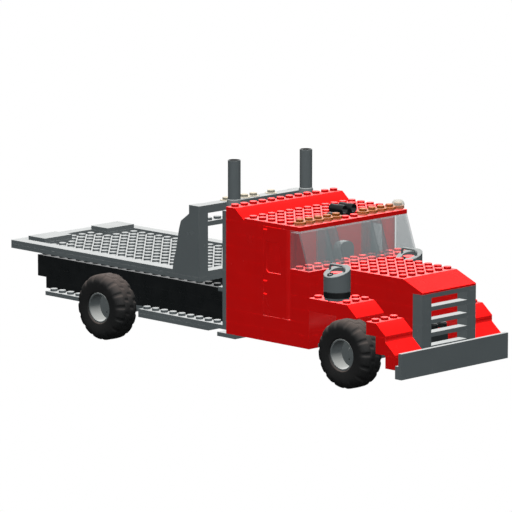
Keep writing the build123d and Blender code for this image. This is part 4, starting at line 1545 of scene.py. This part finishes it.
@dataclass
class Studio:
    """A pale floor, a soft surround, one large soft lamp overhead and the camera."""

    azimuth: float = 45.069
    elevation: float = 10.107
    distance: float = 2.68383
    target: tuple[float, float, float] = (0.00407, -0.00031, 0.05999)
    lens_mm: float = 298.19
    sensor_mm: float = 36.0
    floor_half: float = 6.0
    key: float = 1.07
    key_spread: float = 0.5
    far: float = 1.1
    far_spread: float = 14.0
    lift: float = 14.0
    sky: float = 0.10
    ground: float = 0.03
    lamp_high: float = 3.0
    lamp_wide: float = 0.5
    lamp_power: float = 292.0
    lamp_colour: tuple[float, float, float] = (1.0, 0.865, 0.80)

    def floor(self) -> None:
        """The floor is a flat grid that glows evenly, so that it stays pale out to its edge."""
        edge = np.linspace(-self.floor_half, self.floor_half, 3)
        x, y = np.meshgrid(edge, edge, indexing="ij")
        points = np.stack([x, y, np.zeros_like(x)], axis=-1).reshape(-1, 3)
        quads = [(0, 3, 4, 1), (1, 4, 5, 2), (3, 6, 7, 4), (4, 7, 8, 5)]
        mesh = bpy.data.meshes.new("studio_floor")
        mesh.from_pydata(points.tolist(), [], quads)
        made = bpy.data.objects.new("studio_floor", mesh)
        bpy.context.scene.collection.objects.link(made)
        paint = bpy.data.materials.new("floor_paint")
        paint.use_nodes = True
        shader = paint.node_tree.nodes["Principled BSDF"]
        for socket, value in {"Base Color": (0, 0, 0, 1), "Roughness": 1.0, "Specular IOR Level": 0.0,
                              "Emission Color": (1, 1, 1, 1), "Emission Strength": 1.0}.items():
            shader.inputs[socket].default_value = value
        mesh.materials.append(paint)
        made.visible_diffuse = False
        made.visible_glossy = False

    def _sum(self, tree: bpy.types.NodeTree, value: Socket,
             steps: Sequence[tuple[str, float | Socket]]) -> Socket:
        """A value taken through steps of arithmetic, each with a number or another value."""
        for operation, other in steps:
            step = wire(tree, "Math", links={0: value}, operation=operation)
            if isinstance(other, float):
                step.inputs[1].default_value = other
            else:
                tree.links.new(other, step.inputs[1])
            value = step.outputs[0]
        return value

    def _lobe(self, tree: bpy.types.NodeTree, way: Socket, aim: np.ndarray,
              spread: float, peak: float) -> Socket:
        """A soft glow in the surround: peak * max(0, way . aim) ** spread."""
        dot = wire(tree, "VectorMath", {1: aim}, {0: way}, operation="DOT_PRODUCT")
        steps = (("MAXIMUM", 0.0), ("POWER", spread), ("MULTIPLY", peak))
        return self._sum(tree, dot.outputs["Value"], steps)

    def surround(self) -> None:
        """The surround: a broad glow behind the camera, a weaker one facing it, both faded
        out below the horizon, over a dim sky and a darker ground. The camera sees it white."""
        world = bpy.data.worlds.new("surround")
        bpy.context.scene.world = world
        world.use_nodes = True
        tree = world.node_tree
        tree.nodes.clear()
        way = wire(tree, "TexCoord").outputs["Generated"]
        up = wire(tree, "SeparateXYZ", links={0: way}).outputs["Z"]
        rise = wire(tree, "MapRange", {"From Min": -0.1, "From Max": 0.1}, {"Value": up},
                    interpolation_type="SMOOTHSTEP").outputs["Result"]
        az, lift = radians(self.azimuth), radians(self.lift)
        aim = np.array([cos(az) * cos(lift), -sin(az) * cos(lift), sin(lift)])
        near = self._lobe(tree, way, aim, self.key_spread, self.key)
        far = self._lobe(tree, way, aim * [-1, -1, 1], self.far_spread, self.far)
        value = self._sum(tree, near, (("ADD", far), ("ADD", self.sky - self.ground),
                                       ("MULTIPLY", rise), ("ADD", self.ground)))
        lit = wire(tree, "Background", {"Color": (1, 1, 1, 1)}, {"Strength": value})
        seen = wire(tree, "Background", {"Color": (1, 1, 1, 1), "Strength": 1.0})
        by_camera = wire(tree, "LightPath").outputs["Is Camera Ray"]
        mix = wire(tree, "MixShader", links={0: by_camera, 1: lit.outputs[0], 2: seen.outputs[0]})
        wire(tree, "OutputWorld", links={"Surface": mix.outputs[0]})

    def lamp(self) -> None:
        """One large soft lamp straight overhead."""
        light = bpy.data.lights.new("overhead", "AREA")
        light.shape, light.size, light.energy = "DISK", self.lamp_wide, self.lamp_power
        light.color = self.lamp_colour
        made = bpy.data.objects.new("overhead", light)
        made.visible_glossy = False
        made.location = (0.0, 0.0, self.lamp_high)
        bpy.context.scene.collection.objects.link(made)

    def camera(self) -> None:
        """The camera stands level with the truck's front right corner, a little above it."""
        az, el = radians(self.azimuth), radians(self.elevation)
        out = np.array([cos(az) * cos(el), -sin(az) * cos(el), sin(el)])
        data = bpy.data.cameras.new("studio_camera")
        data.sensor_width, data.lens = self.sensor_mm, self.lens_mm
        data.clip_start, data.clip_end = 0.1, 50.0
        made = bpy.data.objects.new("studio_camera", data)
        made.location = np.array(self.target) + self.distance * out
        made.rotation_euler = (pi / 2 - el, 0.0, pi / 2 - az)
        bpy.context.scene.collection.objects.link(made)
        bpy.context.scene.camera = made

    def build(self) -> None:
        """Set the stage."""
        self.floor()
        self.surround()
        self.lamp()
        self.camera()
        bpy.context.scene.view_settings.view_transform = "Standard"


def main() -> None:
    """Build the truck piece by piece, then the studio."""
    logging.basicConfig(level=logging.INFO, format="%(name)s %(message)s")
    makers = [Chassis(), *[Wheel(axle, side) for axle in ("front", "rear") for side in Side],
              Bed(), Headboard(), Stack(Side.LEFT), Stack(Side.RIGHT), Cab(), Door(Side.LEFT),
              Door(Side.RIGHT), Windscreen(), Roof(), Hood(), Fender(Side.LEFT), Fender(Side.RIGHT),
              Canisters(), Front()]
    stood_for: set[str] = set()
    for maker in makers:
        for piece in maker.build():
            piece.place()
            stood_for.update(piece.stands_for)
    for node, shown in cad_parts.items():
        if shown.hide_render and node not in stood_for:
            dress(node, SHAFT)
    Studio().build()


if __name__ == "__main__":
    main()
